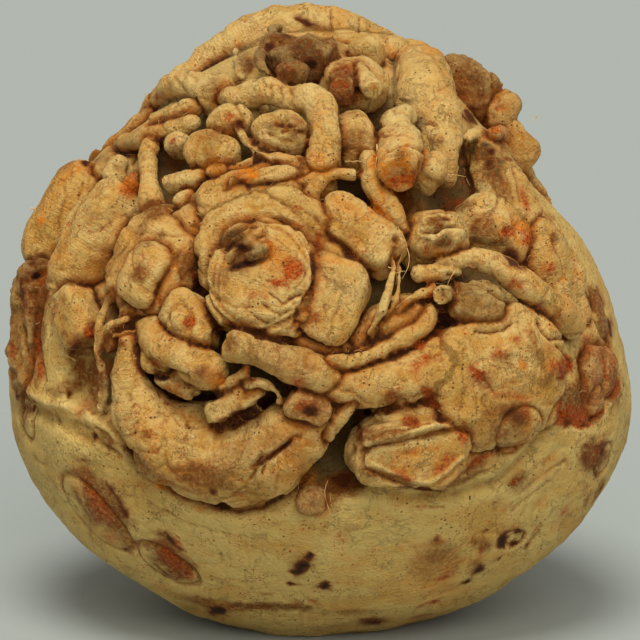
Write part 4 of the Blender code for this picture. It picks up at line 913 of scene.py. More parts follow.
# %% Rings, folds and cracks on the front
FACE_RINGS = (  # across, up, half length, half width, turn, depth of the ring, height of its dome
    (-48.5, -36.5, 11.0, 6.5, -58, 0.8, 0.3),
    (-33.0, -48.0, 8.0, 5.0, -50, 0.8, 0.3),
    (41.5, -17.5, 5.9, 5.8, 0, 0.7, 0.5),
    (61.8, -24.5, 4.0, 3.6, 40, 0.8, -0.6),
    (43.5, -42.5, 2.3, 2.2, 0, 0.8, -0.6),
    (61.6, 7.4, 6.4, 4.0, -62, 0.9, 0.6),
    (-63.0, -15.5, 5.0, 3.4, 90, 0.8, 0.2),
    (-11.2, 14.0, 12.6, 12.2, 80, 0.9, 0.4),
    (-11.0, 13.4, 10.6, 10.0, 80, 0.4, 0.2),
    (-18.4, 1.4, 2.7, 2.5, 0, 0.3, -0.9),
    (-2.2, -13.8, 3.6, 2.9, -30, 0.3, -1.6),
    (-26.6, 5.6, 3.2, 2.6, -50, 0.4, 0.2),
    (50.0, -14.0, 4.4, 3.4, 60, 0.5, 0.3),
    (60.0, -12.0, 4.0, 3.2, 80, 0.5, 0.3),
)
FOLDS = (  # width, height, (across, up) points
    (0.45, -0.85, ((-20.6, 19.0), (-19.6, 22.5), (-16.6, 24.6), (-13.2, 25.8))),
    (0.45, -0.85, ((-19.1, 17.3), (-17.4, 19.9), (-14.4, 21.1), (-11.0, 22.4))),
    (0.4, 0.5, ((-18.3, 22.4), (-15.3, 23.7), (-11.9, 24.1))),
    (0.4, -0.6, ((-17.0, 16.0), (-13.1, 17.7), (-10.2, 19.8))),
    (0.4, 0.5, ((-15.7, 19.0), (-13.1, 19.9), (-10.6, 21.1))),
    (0.35, -0.5, ((-13.9, 7.1), (-10.1, 4.6), (-5.5, 3.7), (-2.1, 6.3))),
    (0.3, -0.45, ((-11.8, 9.2), (-8.0, 6.7), (-4.2, 7.5), (-1.7, 10.9))),
    (0.3, -0.45, ((-10.1, 11.4), (-7.2, 9.2), (-3.8, 10.9))),
    (0.5, -0.9, ((-14.0, -25.6), (-11.0, -23.0), (-7.6, -21.3), (-4.2, -18.7))),
    (0.45, -0.7, ((-11.9, -26.9), (-10.6, -23.9))),
    (1, -1.8, ((-21.3, 21.4), (-18.7, 23.7), (-15.9, 25.6), (-14.4, 26.5))),
    (1.2, -1.9, ((-19.5, 17.8), (-17.4, 18.6), (-15.5, 20.3), (-13.6, 21.6), (-11.9, 23.7))),
    (0.5, -0.5, ((-23.6, 19.1), (-23.4, 22.5), (-21.7, 25.5), (-18.3, 27.6), (-14.5, 28.6), (-10.2, 28.2),
     (-6.3, 26.2))),
    (0.45, -0.45, ((-6.3, 26.2), (-2.7, 23.2), (-0.6, 19.8), (0.0, 16.0), (-0.8, 12.6), (-2.9, 10.3))),
    (0.45, -0.4, ((-23.3, 12.6), (-24.0, 16.3), (-23.6, 19.1))),
    (0.5, -0.45, ((-23.3, 12.6), (-21.2, 10.1), (-17.3, 8.6), (-12.7, 8.2), (-7.6, 9.0), (-3.8, 10.9))),
    (0.4, -0.35, ((-13.4, 27.1), (-9.1, 26.7), (-5.5, 24.5), (-2.9, 21.5), (-1.9, 17.7))),
    (0.4, -0.4, ((-7.6, 30.3), (-3.8, 29.2), (-0.4, 27.1), (0.9, 24.5))),
    (0.5, 0.5, ((-14.8, 22.4), (-12.7, 22.0), (-11.9, 20.3), (-13.6, 18.6), (-15.3, 19.0))),
    (0.5, -0.8, ((-26.0, 19.1), (-26.6, 16.1), (-25.7, 13.1), (-24.0, 11.4))),
    (0.5, -0.7, ((-29.5, 19.9), (-29.8, 16.9), (-28.5, 13.9))),
    (0.5, -0.8, ((-12.7, 2.5), (-9.1, 1.6), (-5.5, 1.6))),
    (0.5, -0.6, ((-5.5, 9.7), (-3.8, 7.1), (-4.2, 4.6))),
    (0.45, -1.1, ((-5.5, -19.4), (-7.0, -21.1), (-8.7, -22.8), (-10.6, -23.5))),
    (0.4, -0.9, ((-11.9, -23.2), (-12.7, -25.2), (-14.2, -28.0))),
    (0.3, -0.6, ((-2.9, -18.3), (-3.6, -19.6))),
    (0.9, -1.8, ((-18.2, -16.2), (-16.5, -14.9), (-14.0, -13.6), (-11.8, -12.1), (-9.7, -10.7))),
    (0.5, -0.9, ((-22.3, -16.7), (-20.4, -17.1), (-18.2, -16.2))),
    (0.9, -2.2, ((-35.1, -6.3), (-32.5, -6.3), (-30.2, -6.5), (-28.0, -6.9))),
    (0.6, -1.1, ((-25.9, -11.1), (-23.3, -10.9), (-21.2, -10.5), (-19.5, -9.4))),
    (1, 0.9, ((-69.4, 4.5), (-68.5, -0.5), (-65.8, -6.1), (-62.7, -10.4), (-58.3, -12.5), (-53.7, -13.2),
     (-49.6, -14.9))),
    (0.9, 0.7, ((-49.6, -14.9), (-46.0, -17.8), (-42.5, -21.2), (-38.6, -25.5), (-34.3, -28.9))),
    (0.6, -0.7, ((-52.3, -16.7), (-49.2, -18.3), (-46.1, -21.3), (-42.6, -23.8))),
    (0.5, -0.6, ((-47.6, -17.4), (-44.3, -20.4), (-39.9, -22.5), (-36.4, -26.8))),
    (0.7, -0.8, ((-20.9, -34.4), (-16.7, -35.2), (-11.9, -34.7), (-8.1, -32.1))),
    (0.5, 0.5, ((-23.1, -33.1), (-17.5, -34.3), (-11.9, -33.6))),
    (0.8, -1.6, ((-64.5, 14.3), (-61.9, 15.3), (-59.8, 15.9))),
    (0.6, -1.1, ((-65.9, 11.2), (-65.8, 6.7), (-64.9, 2.3), (-63.7, -2.1))),
    (0.6, -1.1, ((-61.6, 12.0), (-61.4, 7.6), (-61.7, 2.3), (-60.7, -3.3), (-59.7, -7.7))),
    (0.5, -0.8, ((-58.1, 11.9), (-57.5, 7.1), (-58.3, 2.3))),
    (0.5, 0.7, ((-63.7, 12.9), (-63.4, 6.7), (-62.7, 0.1))),
    (0.45, -0.7, ((-9.0, 47.6), (-6.9, 46.6), (-4.3, 47.3))),
    (0.45, -0.8, ((-7.5, 45.5), (-5.6, 46.2), (-3.2, 45.5))),
    (0.4, -0.5, ((-10.3, 45.3), (-8.1, 44.0), (-5.5, 43.5))),
    (0.45, -0.6, ((-17.7, 51.8), (-16.2, 49.9), (-16.1, 47.2))),
    (0.5, -0.7, ((-41.8, 37.8), (-41.0, 40.1), (-40.0, 41.8))),
    (0.45, -0.7, ((-29.6, 62.5), (-28.4, 60.5), (-27.0, 58.4))),
    (0.4, -0.5, ((-25.8, 63.1), (-24.4, 60.8), (-22.9, 59.1))),
    (0.4, -0.5, ((-31.8, 59.6), (-30.9, 57.8), (-29.3, 55.7))),
    (0.4, -0.5, ((-8.2, 56.1), (-8.0, 53.8), (-8.2, 52.0))),
    (0.4, -0.5, ((-5.8, 55.9), (-5.6, 53.4), (-6.0, 51.6))),
    (0.4, -0.4, ((-10.4, 56.6), (-10.2, 54.3), (-10.6, 52.7))),
    (0.5, -1, ((16.5, 50.7), (18.7, 51.0), (20.6, 49.7), (21.5, 47.6))),
    (0.4, -0.6, ((12.9, 47.0), (15.1, 47.7), (17.5, 47.8), (19.5, 46.7))),
    (0.4, -0.6, ((13.4, 45.0), (15.5, 45.7), (18.1, 45.5), (20.3, 44.0))),
    (0.45, -0.9, ((14.2, 41.7), (16.8, 42.8), (19.4, 42.9), (22.0, 41.6), (23.5, 40.3))),
    (0.4, -0.7, ((22.4, 47.7), (23.9, 48.2), (25.7, 48.1))),
    (0.4, -0.4, ((18.3, 53.3), (20.5, 52.9), (23.2, 53.5))),
    (0.4, -0.35, ((22.4, 55.8), (25.6, 55.6), (28.7, 56.9))),
    (0.5, -0.5, ((22.8, 39.0), (24.2, 41.3), (24.3, 43.9), (23.0, 46.1))),
    (0.3, -0.35, ((40.6, 38.1), (41.7, 34.8), (42.4, 31.6))),
    (0.3, -0.35, ((39.4, 37.5), (40.3, 34.3), (40.8, 31.1))),
    (0.3, -0.35, ((42.6, 39.0), (43.5, 35.4), (44.1, 31.7))),
    (0.3, -0.3, ((37.9, 36.9), (38.6, 33.8), (39.2, 31.1))),
    (0.5, -0.6, ((32.5, 45.8), (31.4, 42.5), (31.1, 39.3))),
    (0.8, -1, ((45.3, 56.0), (43.5, 55.1), (40.8, 50.6))),
    (0.45, -1.3, ((22.0, 24.0), (24.4, 24.0), (26.6, 24.7), (29.2, 25.4))),
    (0.5, 0.7, ((22.7, 23.1), (25.3, 23.6), (27.9, 24.5), (30.9, 24.3))),
    (0.3, -0.3, ((24.0, 28.1), (26.2, 28.8), (28.4, 28.4))),
    (0.3, -0.3, ((23.3, 26.8), (25.7, 27.5), (28.4, 26.9))),
    (0.5, -1, ((27.7, 15.0), (30.7, 14.4), (34.2, 13.1), (37.2, 11.4), (40.7, 9.3))),
    (0.6, -1.6, ((8.5, -14.7), (11.0, -14.0), (14.0, -13.4), (17.0, -12.6), (18.7, -12.0))),
    (0.4, -0.8, ((33.5, 3.3), (36.7, 2.9), (39.8, 3.7), (41.6, 5.0))),
    (0.4, -0.6, ((46.9, 5.8), (48.0, 3.3), (49.6, 1.5), (52.8, 1.9), (57.7, 2.8))),
    (0.45, -0.9, ((47.4, 5.4), (48.5, 2.8), (49.8, 1.5))),
    (0.4, 0.4, ((46.0, 4.6), (46.9, 1.3), (47.3, -2.3), (46.8, -6.2))),
    (0.35, -0.5, ((32.4, -4.4), (34.1, -6.1), (36.3, -8.2), (37.6, -9.9))),
    (0.7, -0.9, ((9.1, -21.9), (13.2, -20.7), (17.4, -20.3), (21.7, -19.2), (26.8, -18.0), (30.7, -16.7))),
    (0.5, 0.8, ((9.4, -20.7), (14.0, -19.4), (19.6, -18.1), (25.1, -16.7), (30.3, -16.9))),
    (0.35, -0.5, ((10.2, -19.4), (14.4, -18.1), (19.1, -17.3), (23.8, -16.2))),
    (0.35, -0.5, ((10.6, -17.9), (14.9, -16.8), (18.3, -16.4))),
    (0.5, -0.9, ((10.2, -25.8), (14.1, -27.8), (18.4, -29.5), (23.5, -30.4))),
    (0.5, 0.7, ((11.5, -24.7), (15.8, -26.5), (20.1, -28.2), (23.9, -28.7), (27.3, -26.2), (30.8, -23.6))),
    (0.4, -0.5, ((26.1, -31.4), (29.5, -28.8), (32.5, -26.2), (35.5, -23.7))),
    (0.3, -0.35, ((27.4, -30.9), (30.8, -28.8), (34.3, -27.1), (37.7, -26.3))),
    (0.7, -1.3, ((8.3, -17.0), (8.1, -19.6), (8.5, -22.6), (9.2, -25.2))),
    (0.5, -0.7, ((61.8, 1.2), (63.2, -3.0), (63.1, -7.3), (62.1, -11.2))),
    (0.5, 0.6, ((61.7, -0.3), (64.7, -2.5), (66.6, -6.6), (66.0, -10.5), (63.6, -13.0))),
    (0.5, -0.6, ((68.1, -3.6), (68.5, -7.2), (66.8, -11.0))),
    (0.5, -0.6, ((51.3, -13.1), (53.7, -16.2), (56.9, -17.6), (60.2, -16.4), (62.6, -14.3))),
    (0.4, -0.5, ((51.4, -0.2), (53.2, -1.5), (54.5, -3.7), (53.6, -6.3), (51.3, -6.7))),
    (0.4, -0.4, ((24.0, -34.4), (27.0, -34.4))),
    (0.35, -0.35, ((43.6, -32.2), (47.1, -29.2), (50.7, -26.6), (53.8, -25.0))),
    (0.35, -0.35, ((41.9, -35.7), (45.9, -32.2), (49.9, -29.7))),
    (0.4, -0.4, ((45.1, -44.5), (46.8, -42.2), (48.5, -39.6))),
    (0.5, -0.5, ((59.1, -34.3), (62.1, -32.3), (65.0, -30.0))),
    (0.6, -0.6, ((-24.8, -56.4), (-18.0, -57.3), (-10.5, -57.6), (-1.7, -58.0))),
    (0.35, -0.3, ((-36.2, -33.8), (-27.5, -38.5), (-18.9, -40.5))),
)
print(len(FACE_RINGS), "rings,", len(FOLDS), "folds and cracks")

# %% [markdown]
# All of this is added up as one relief, in millimetres, before a point moves. Then the creases are
# evened out a little, so that they have no sharp steps.

# %% Relief of the skin
CREASE_DEPTH = 1.0
CREASE_EVENING = 2.0  # the skin is evened out by this many times the crease, at most fully
RING_WIDTH = 0.5
RING_REACH = (-8.0, 14.0)  # a ring is put on what lies this far under and over the bulb's skin
FOLDS_BEFORE = 12.0  # folds are drawn on what lies this far before the middle of the bulb
LINE_WAVER = 0.35  # folds waver by this much, in waves of the next size
WAVER_SIZE = 2.5
SKIN_LUMPS = ((0.55, 7.0, 1), (0.42, 3.4, 2), (0.16, 1.9, 10), (0.08, 1.2, 3))  # height, size, seed
ROUGH_LUMPS = ((0.5, 1.9, 4), (0.3, 1.0, 8))
BULB_CALM = 0.5  # the open skin of the bulb is this much smoother
ROOT_RING_SIZE = (1.5, 7.0, 7.0)  # along the grain, round it and out
ROOT_RING_DEPTH = 0.20
ROOT_SHRINKAGE = 0.02
WRINKLES = ((6.0, 0.36, 30), (3.2, 0.26, 34))  # size of the patches they run round, depth, seed
WRINKLE_SHARPNESS = 0.10
WRINKLE_SPREAD = 3.0  # wrinkled places are this many times larger than the wrinkles' patches
WRINKLE_CONTRAST = 1.2
ROUGH_FAMILIES = ("crust", "scab", "corky", "rough", "dark", "nut", "disc", "chip")


def lumps(places, size, seed):
    """Smooth noise between -1 and 1 on a lattice of the given size, quick enough for all points."""
    lattice = np.random.default_rng(seed).uniform(-1.0, 1.0, (64, 64, 64))
    scaled = places / size
    base = np.floor(scaled).astype(int)
    share = ease(scaled - base)
    total = np.zeros(len(places))
    for corner in product((0, 1), repeat=3):
        weight = np.where(corner, share, 1.0 - share).prod(axis=1)
        total += weight * lattice[tuple((base + corner).T % 64)]
    return total


def layered(places, layers):
    """The sum of several smooth noises, given as height, size and seed."""
    return sum(height * lumps(places, size, seed) for height, size, seed in layers)


def skin_normals():
    values = np.empty(len(skin.data.vertices) * 3)
    skin.data.vertices.foreach_get("normal", values)
    return values.reshape(-1, 3)


def front_spot(places, across, up, turn):
    """Each place as seen from a spot on the front: along, across, and whether it is near the skin."""
    middle = on_face(across, up)
    local = (places - middle) @ surface_frame(middle, face_way(turn))
    near = (local[:, 2] > RING_REACH[0]) & (local[:, 2] < RING_REACH[1])
    return local[:, 0], local[:, 1], near


relief = -CREASE_DEPTH * crease
for across, up, half_length, half_width, turn, depth, dome in FACE_RINGS:
    x, y, near = front_spot(points, across, up, turn)
    reach = np.hypot(x / half_length, y / half_width)
    ring = np.exp(-((reach - 1.0) * half_width / RING_WIDTH) ** 2)
    relief += np.where(near, dome * np.clip(1.0 - reach ** 2, 0.0, 1.0) - depth * ring, 0.0)

front = points @ INWARD < -FOLDS_BEFORE
waver = np.column_stack([lumps(points, WAVER_SIZE, seed) for seed in (5, 6)])
flat_places = np.column_stack((points @ RIGHT, points @ UP)) + LINE_WAVER * waver
for width, height, line in FOLDS:
    distance = distance_to_line(flat_places, line)
    relief += np.where(front, height * np.exp(-(distance / width) ** 2), 0.0)

rough = spread(np.isin(family_name, ROUGH_FAMILIES), 2)
calm = 1.0 - BULB_CALM * spread(kind_name == "bulb", 6)
relief += calm * layered(points, SKIN_LUMPS) + rough * layered(points, ROUGH_LUMPS)
root_rings = np.abs(lumps(grain / ROOT_RING_SIZE, 1.0, 7))
relief -= spread(kind_name == "root", 3) * (ROOT_SHRINKAGE + ROOT_RING_DEPTH * root_rings)
for size, depth, seed in WRINKLES:
    patchy = ease(0.5 + WRINKLE_CONTRAST * lumps(points, WRINKLE_SPREAD * size, seed + 1))
    valley = np.exp(-(lumps(points, size, seed) / WRINKLE_SHARPNESS) ** 2)
    relief -= depth * calm * patchy * valley
points = points + skin_normals() * relief[:, None]
near_crease = np.clip(CREASE_EVENING * crease, 0.0, 1.0)[:, None]
set_points(skin.data, points + near_crease * (spread(points, 2) - points))
print("relief from", round(relief.min(), 2), "to", round(relief.max(), 2), "mm")

# %% [markdown]
# ## Hollows
#
# In the real root soil and brown juice stay in every hollow, and the hollows are darkened with painted
# shade as well. Rims and ridges are made pale, partly as rubbed wear and partly as a painted highlight.
# How hollow a point is can be measured: the evened-out skin passes above it in a hollow and under
# it on a ridge. The skin is evened out a little for the fine hollows and a lot for the wide ones.

# %% Measure the hollows
FINE_ROUNDS = 5
WIDE_ROUNDS = 60


def hollowness(rounds):
    """How far the skin lies under the same skin evened out, in millimetres."""
    return ((spread(points, rounds) - points) * normals).sum(axis=1)


points = mesh_points(skin.data)
normals = skin_normals()
fine_hollow = hollowness(FINE_ROUNDS)
wide_hollow = hollowness(WIDE_ROUNDS)
print("hollows to", round(fine_hollow.max(), 2), "mm, wide ones to", round(wide_hollow.max(), 2), "mm")

# %% [markdown]
# ## Stains, scars and crust
#
# The washed skin is cream to ochre. Where it was hurt it rusts orange to brown, old wood and crust
# are grey, and pits hold nearly black soil. Each mark is an oval with a ragged edge, laid on the
# front as it is seen from there. The marks go into values on the points, which the skin's material
# turns into colour.

# %% The marks on the front
MARKS = {  # across, up, half length, half width, turn, strength
    "grey": (
        (-17.8, 22.9, 3.6, 1.7, 35, 1), (-15.3, 19.0, 3.4, 2.3, 20, 1), (-61.2, 18.2, 2.7, 1.6, 60, 0.8),
        (-2.6, 63.7, 3.7, 3.1, -20, 1), (17.2, 40.4, 2.1, 0.9, 10, 0.6), (25.8, 44.4, 1.7, 1.3, 0, 0.6),
        (35.8, 60.5, 1.8, 2.7, 0, 0.7), (35.6, 41.9, 3.1, 2.6, -20, 0.9), (38.3, 39.3, 2.6, 3.1, 30, 0.8),
        (27.0, 22.5, 2.4, 1.7, 30, 0.9), (-33.8, -27.6, 3.0, 1.1, -40, 0.35),
        (57.6, -10.7, 2.0, 2.2, 0, 0.6), (25.7, -45.6, 2.6, 2.2, 0, 0.35),
    ),
    "dark": (
        (-18.7, 20.7, 1.7, 0.7, 50, 1), (-15.9, 20.9, 1.5, 0.6, -30, 1), (-16.1, 17.1, 2.3, 0.6, 10, 0.9),
        (-37.9, 17.0, 1.3, 0.6, 50, 0.5), (-25.7, 14.1, 0.6, 1.3, 0, 0.6), (-62.9, 18.3, 0.9, 0.7, 0, 0.6),
        (-61.9, 15.3, 1.1, 0.9, -20, 1), (-65.0, 12.1, 0.4, 2.7, 8, 0.7), (-52.2, -0.2, 0.6, 1.7, -35, 0.6),
        (-53.9, -10.6, 0.7, 0.6, 0, 1), (-16.8, 47.5, 1.0, 1.0, 0, 0.7), (-51.1, 40.3, 0.9, 0.7, 0, 0.8),
        (-6.6, 46.9, 1.9, 0.4, -5, 0.7), (-4.1, 45.5, 1.5, 0.4, 10, 0.5), (-14.9, 61.0, 0.9, 2.2, 10, 0.5),
        (-10.6, 65.7, 1.3, 1.3, 0, 0.6), (-6.9, 67.8, 1.1, 0.9, 0, 0.5), (-1.5, 61.0, 1.3, 1.1, 0, 0.8),
        (-2.9, 72.1, 2.2, 0.7, -20, 0.8), (33.2, 64.5, 2.5, 0.9, -45, 0.9),
        (35.2, 62.3, 2.0, 0.9, -50, 0.9), (34.1, 51.1, 1.8, 2.2, 0, 0.7), (41.9, 40.7, 1.1, 0.7, 0, 0.6),
        (38.1, 42.2, 0.9, 0.7, 0, 0.8), (37.4, 39.4, 1.3, 1.1, 0, 0.6), (41.8, 19.2, 2.6, 1.9, -30, 0.75),
        (33.6, 24.8, 0.6, 1.1, 0, 0.5), (27.0, 26.9, 1.1, 0.4, 0, 0.6), (55.6, 29.3, 2.2, 0.6, -48, 0.9),
        (59.6, 25.5, 1.8, 0.5, -48, 0.7), (59.1, 10.2, 0.4, 2.4, 22, 0.8), (64.4, 3.6, 0.4, 2.6, 6, 0.6),
        (-62.3, -13.9, 0.4, 2.6, -10, 0.8), (-66.5, -11.0, 0.4, 1.8, 0, 0.6),
        (-50.7, -24.7, 3.0, 0.3, -10, 0.7), (-43.3, -33.6, 0.3, 7.4, 31, 0.75),
        (-42.0, -44.8, 1.1, 0.3, -30, 0.7), (-29.9, -44.0, 0.3, 5.2, 42, 0.8),
        (-29.0, -50.2, 0.9, 0.7, 0, 0.6), (-35.3, -47.4, 0.3, 3.1, 36, 0.7),
        (-48.1, -19.6, 0.7, 0.8, -20, 0.9), (-21.6, -58.6, 1.8, 1.1, 0, 1), (-3.2, -47.6, 1.5, 1.3, 0, 1),
        (-1.7, -45.1, 1.1, 0.9, 0, 1), (-4.5, -49.0, 1.1, 0.9, 20, 1), (-5.6, -51.5, 1.0, 0.6, 0, 1),
        (-22.2, -30.9, 1.1, 0.9, 0, 0.7), (-24.6, -5.2, 1.7, 1.1, 20, 0.45), (-33.2, -6.5, 1.9, 0.7, -8, 1),
        (-27.6, 5.4, 0.5, 0.6, 0, 0.6), (-18.4, -0.3, 0.8, 1.3, 0, 0.45), (-2.1, -13.6, 1.9, 1.3, 20, 0.85),
        (14.2, -13.4, 2.5, 0.6, 8, 0.7), (23.2, -11.8, 1.1, 0.6, 0, 0.5), (41.8, -15.1, 2.1, 1.7, -30, 0.5),
        (-8.9, -22.4, 4.2, 0.4, 36, 0.8), (40.2, -42.1, 0.9, 1.7, 0, 0.9),
        (43.5, -40.2, 1.3, 0.7, -30, 0.8), (42.9, -43.2, 1.5, 0.6, 10, 0.8),
        (61.9, -22.9, 0.9, 1.8, 0, 0.5), (-17.8, -14.5, 3.0, 0.8, 24, 0.8), (8.7, -16.6, 0.4, 1.7, 0, 0.6),
        (21.8, -30.4, 3.4, 0.4, -8, 0.85), (5.6, -28.6, 1.9, 1.3, 20, 0.6), (53.9, -16.9, 1.1, 0.9, 0, 0.6),
        (57.9, -17.2, 0.9, 0.4, 20, 0.6), (58.1, -25.6, 0.7, 1.5, -20, 0.5),
        (61.8, -21.8, 2.2, 0.4, 10, 0.45), (38.8, -33.3, 0.6, 0.6, 30, 0.9),
        (25.4, -41.3, 0.6, 0.6, 0, 0.9), (36.5, -39.8, 0.6, 0.3, 30, 0.9),
        (39.5, -46.3, 0.4, 1.1, -15, 0.8), (35.1, -48.7, 1.1, 0.9, 35, 0.9),
        (32.6, -51.7, 1.1, 0.5, 20, 0.9), (24.4, -45.8, 0.6, 0.9, 0, 0.4), (1.5, -51.8, 1.1, 1.0, 0, 1),
        (11.7, -61.0, 1.8, 0.7, 0, 0.7), (45.9, -43.6, 0.4, 1.3, -34, 0.7),
    ),
    "pale": (
        (-12.9, 20.9, 1.3, 1.1, 0, 0.7), (-25.0, 59.8, 11.1, 3.1, 34, 0.7),
        (-9.6, 72.1, 13.4, 3.4, 12, 0.7), (-3.9, 51.5, 8.6, 3.4, -20, 0.4), (6.8, 10.9, 5.1, 3.4, 20, 0.3),
        (11.9, 61.5, 1.8, 6.6, 0, 0.5), (23.5, 54.9, 2.6, 5.7, 0, 0.5), (17.3, 49.1, 3.5, 2.2, 0, 0.6),
        (16.7, 37.1, 1.3, 1.1, 0, 0.5), (43.3, 24.0, 1.1, 0.6, 0, 0.9), (35.2, -7.8, 0.6, 0.9, 40, 0.6),
        (20.2, 56.6, 4.8, 8.8, 0, 0.6),
    ),
    "rust": (
        (-5.5, 16.2, 2.1, 2.1, -20, 1), (-7.6, 13.7, 1.9, 1.1, 10, 0.9), (-13.3, 10.9, 1.1, 0.5, 10, 0.8),
        (-11.4, 10.7, 0.6, 0.5, 0, 0.8), (-4.4, 29.2, 0.9, 0.6, 0, 0.6), (-36.1, 23.2, 0.6, 0.5, 0, 0.7),
        (-25.9, 15.0, 0.9, 0.6, 0, 0.7), (-33.7, 10.3, 0.6, 1.3, -10, 0.7),
        (-45.8, 20.8, 0.4, 1.3, 0, 0.35), (-60.3, 14.8, 1.3, 2.2, -10, 0.6), (-61.0, 0.1, 0.5, 3.1, 3, 0.9),
        (-60.4, -4.6, 0.7, 2.2, 0, 0.9), (-66.8, -1.5, 0.6, 2.0, 0, 0.7), (-57.5, 6.7, 0.9, 2.2, -20, 0.5),
        (-48.9, 2.8, 1.3, 0.9, 20, 0.8), (-50.5, -13.1, 2.6, 1.3, 30, 0.4), (-42.2, 1.3, 0.9, 0.9, 0, 0.6),
        (-19.2, 49.1, 1.0, 0.8, 10, 0.9), (-31.4, 44.3, 0.7, 0.8, 0, 0.9), (-41.1, 33.5, 1.5, 1.1, 0, 0.7),
        (-15.4, 35.8, 1.1, 0.9, -20, 0.5), (-4.1, 48.2, 1.3, 0.6, -20, 0.7),
        (-12.1, 53.7, 0.9, 0.6, 0, 0.6), (-1.9, 41.3, 0.9, 3.0, 0, 0.4), (-35.4, 55.1, 2.0, 0.9, 20, 0.7),
        (-38.3, 56.4, 0.7, 1.1, 0, 0.9), (-5.9, 60.1, 0.7, 0.9, 0, 0.6), (6.1, 60.1, 1.3, 0.9, 0, 0.6),
        (17.6, 35.4, 2.8, 2.4, 0, 0.8), (24.8, 48.3, 1.1, 0.3, 5, 0.9), (30.7, 67.2, 1.3, 1.1, 0, 0.7),
        (40.1, 53.1, 2.0, 0.9, -20, 0.7), (44.4, 52.2, 1.1, 0.9, 0, 0.8), (44.8, 31.9, 0.5, 3.7, 14, 0.8),
        (41.1, 24.7, 1.7, 1.1, 0, 1), (45.4, 23.4, 1.3, 2.0, 0, 1), (29.5, 31.1, 2.2, 0.6, 10, 0.6),
        (23.1, 20.6, 1.1, 1.3, 0, 0.75), (28.4, 29.1, 2.6, 0.5, 5, 0.6), (42.1, 13.1, 1.7, 1.1, -10, 0.65),
        (34.1, 17.6, 1.3, 0.6, 0, 0.5), (24.0, 10.5, 0.6, 0.6, 0, 1), (50.8, 21.1, 0.9, 1.1, 0, 0.5),
        (50.4, 16.9, 1.1, 0.9, 0, 0.9), (62.5, 10.5, 0.9, 0.9, 0, 0.4), (-67.6, -20.6, 0.7, 1.6, -30, 0.7),
        (-46.6, -36.0, 1.5, 5.2, 31, 0.6), (-50.4, -28.9, 2.4, 3.0, 0, 0.4),
        (-50.0, -30.7, 1.1, 1.1, 0, 0.5), (-47.8, -37.6, 1.3, 1.3, 0, 0.5),
        (-44.8, -41.9, 1.3, 1.8, -30, 0.5), (-31.7, -45.9, 1.5, 3.9, 40, 0.7),
        (-30.7, -43.3, 0.6, 1.3, -30, 0.8), (-27.9, -50.4, 1.5, 1.1, -20, 0.9),
        (-47.8, -19.8, 0.9, 1.1, 0, 0.6), (-37.8, -29.9, 1.3, 0.6, -40, 0.3),
        (-0.9, -55.6, 1.1, 0.4, 5, 0.8), (-34.6, -22.2, 0.9, 1.1, 0, 0.4), (-16.6, -31.5, 0.9, 0.5, 0, 0.6),
        (-31.0, -10.5, 1.9, 2.6, 0, 0.45), (-33.0, -9.7, 0.9, 1.3, 0, 0.5), (-34.3, -3.5, 0.9, 0.9, 0, 0.6),
        (-15.0, -4.7, 0.8, 0.6, 0, 0.6), (-27.2, 5.0, 1.3, 1.5, 10, 1), (-4.2, -7.5, 1.3, 0.8, 0, 0.7),
        (-5.9, -8.7, 1.1, 0.6, 0, 0.5), (-2.3, -3.9, 0.8, 0.6, 0, 0.4), (-3.1, -12.6, 2.5, 2.1, 0, 0.75),
        (0.2, 22.4, 0.8, 1.7, 0, 0.5), (21.6, 0.3, 1.1, 0.8, 0, 0.95), (26.1, 1.8, 1.5, 1.7, 0, 0.45),
        (21.2, -3.9, 3.0, 1.3, 35, 0.55), (22.9, -2.8, 1.5, 0.6, 35, 0.7), (25.3, -2.2, 0.8, 0.8, 0, 0.5),
        (15.9, -10.5, 1.3, 1.3, 0, 0.5), (23.1, -9.4, 1.3, 0.8, 0, 0.9), (23.8, -11.1, 1.5, 1.1, 0, 0.7),
        (25.5, -12.4, 1.1, 0.6, 0, 0.9), (34.5, -6.9, 1.3, 3.0, 48, 0.9), (38.2, -1.4, 1.5, 0.9, -10, 0.75),
        (41.1, -4.0, 0.9, 0.4, 0, 0.7), (42.2, 1.6, 0.9, 0.6, 0, 0.7), (39.6, -10.4, 4.7, 0.6, -8, 0.6),
        (44.2, -13.0, 0.6, 3.0, 12, 0.6), (42.3, -21.6, 2.6, 0.6, 40, 0.5), (56.0, -15.9, 3.3, 2.0, -20, 1),
        (52.2, -4.5, 2.6, 1.9, 0, 0.9), (-0.4, 6.3, 1.1, 1.5, 0, 0.7), (19.8, -16.0, 1.5, 1.1, 0, 0.8),
        (9.1, -18.7, 0.6, 4.2, 0, 0.5), (30.5, -19.3, 0.9, 1.3, 0, 0.8), (26.9, -24.9, 3.0, 1.1, 40, 0.65),
        (17.0, -26.7, 1.7, 0.6, -25, 0.8), (19.6, -28.2, 1.7, 0.6, -15, 0.7),
        (27.3, -23.3, 0.9, 0.6, 0, 0.7), (34.2, -24.5, 2.1, 0.6, 25, 0.7), (52.9, -4.3, 2.2, 1.9, 30, 0.75),
        (53.0, -16.0, 1.9, 1.7, -30, 1), (51.8, -14.2, 1.1, 1.3, 0, 0.9), (58.3, -17.0, 1.5, 0.7, 25, 0.9),
        (61.2, -14.9, 1.5, 0.7, 45, 0.8), (62.6, -6.4, 0.5, 4.8, 8, 0.8), (65.7, -9.6, 0.7, 2.6, -10, 0.7),
        (58.4, 1.3, 2.2, 0.9, 20, 0.5), (49.3, -0.2, 0.9, 1.3, 0, 0.4), (61.4, -23.3, 1.5, 1.3, 0, 0.4),
        (42.4, -29.0, 1.1, 0.6, 0, 0.6), (40.8, -35.0, 1.3, 0.3, 15, 0.6), (53.7, -36.4, 0.9, 0.4, 35, 0.8),
        (23.1, -34.4, 2.1, 0.3, 0, 0.6), (25.9, -41.5, 1.1, 0.9, 0, 0.5), (33.2, -38.8, 0.4, 0.9, -10, 0.6),
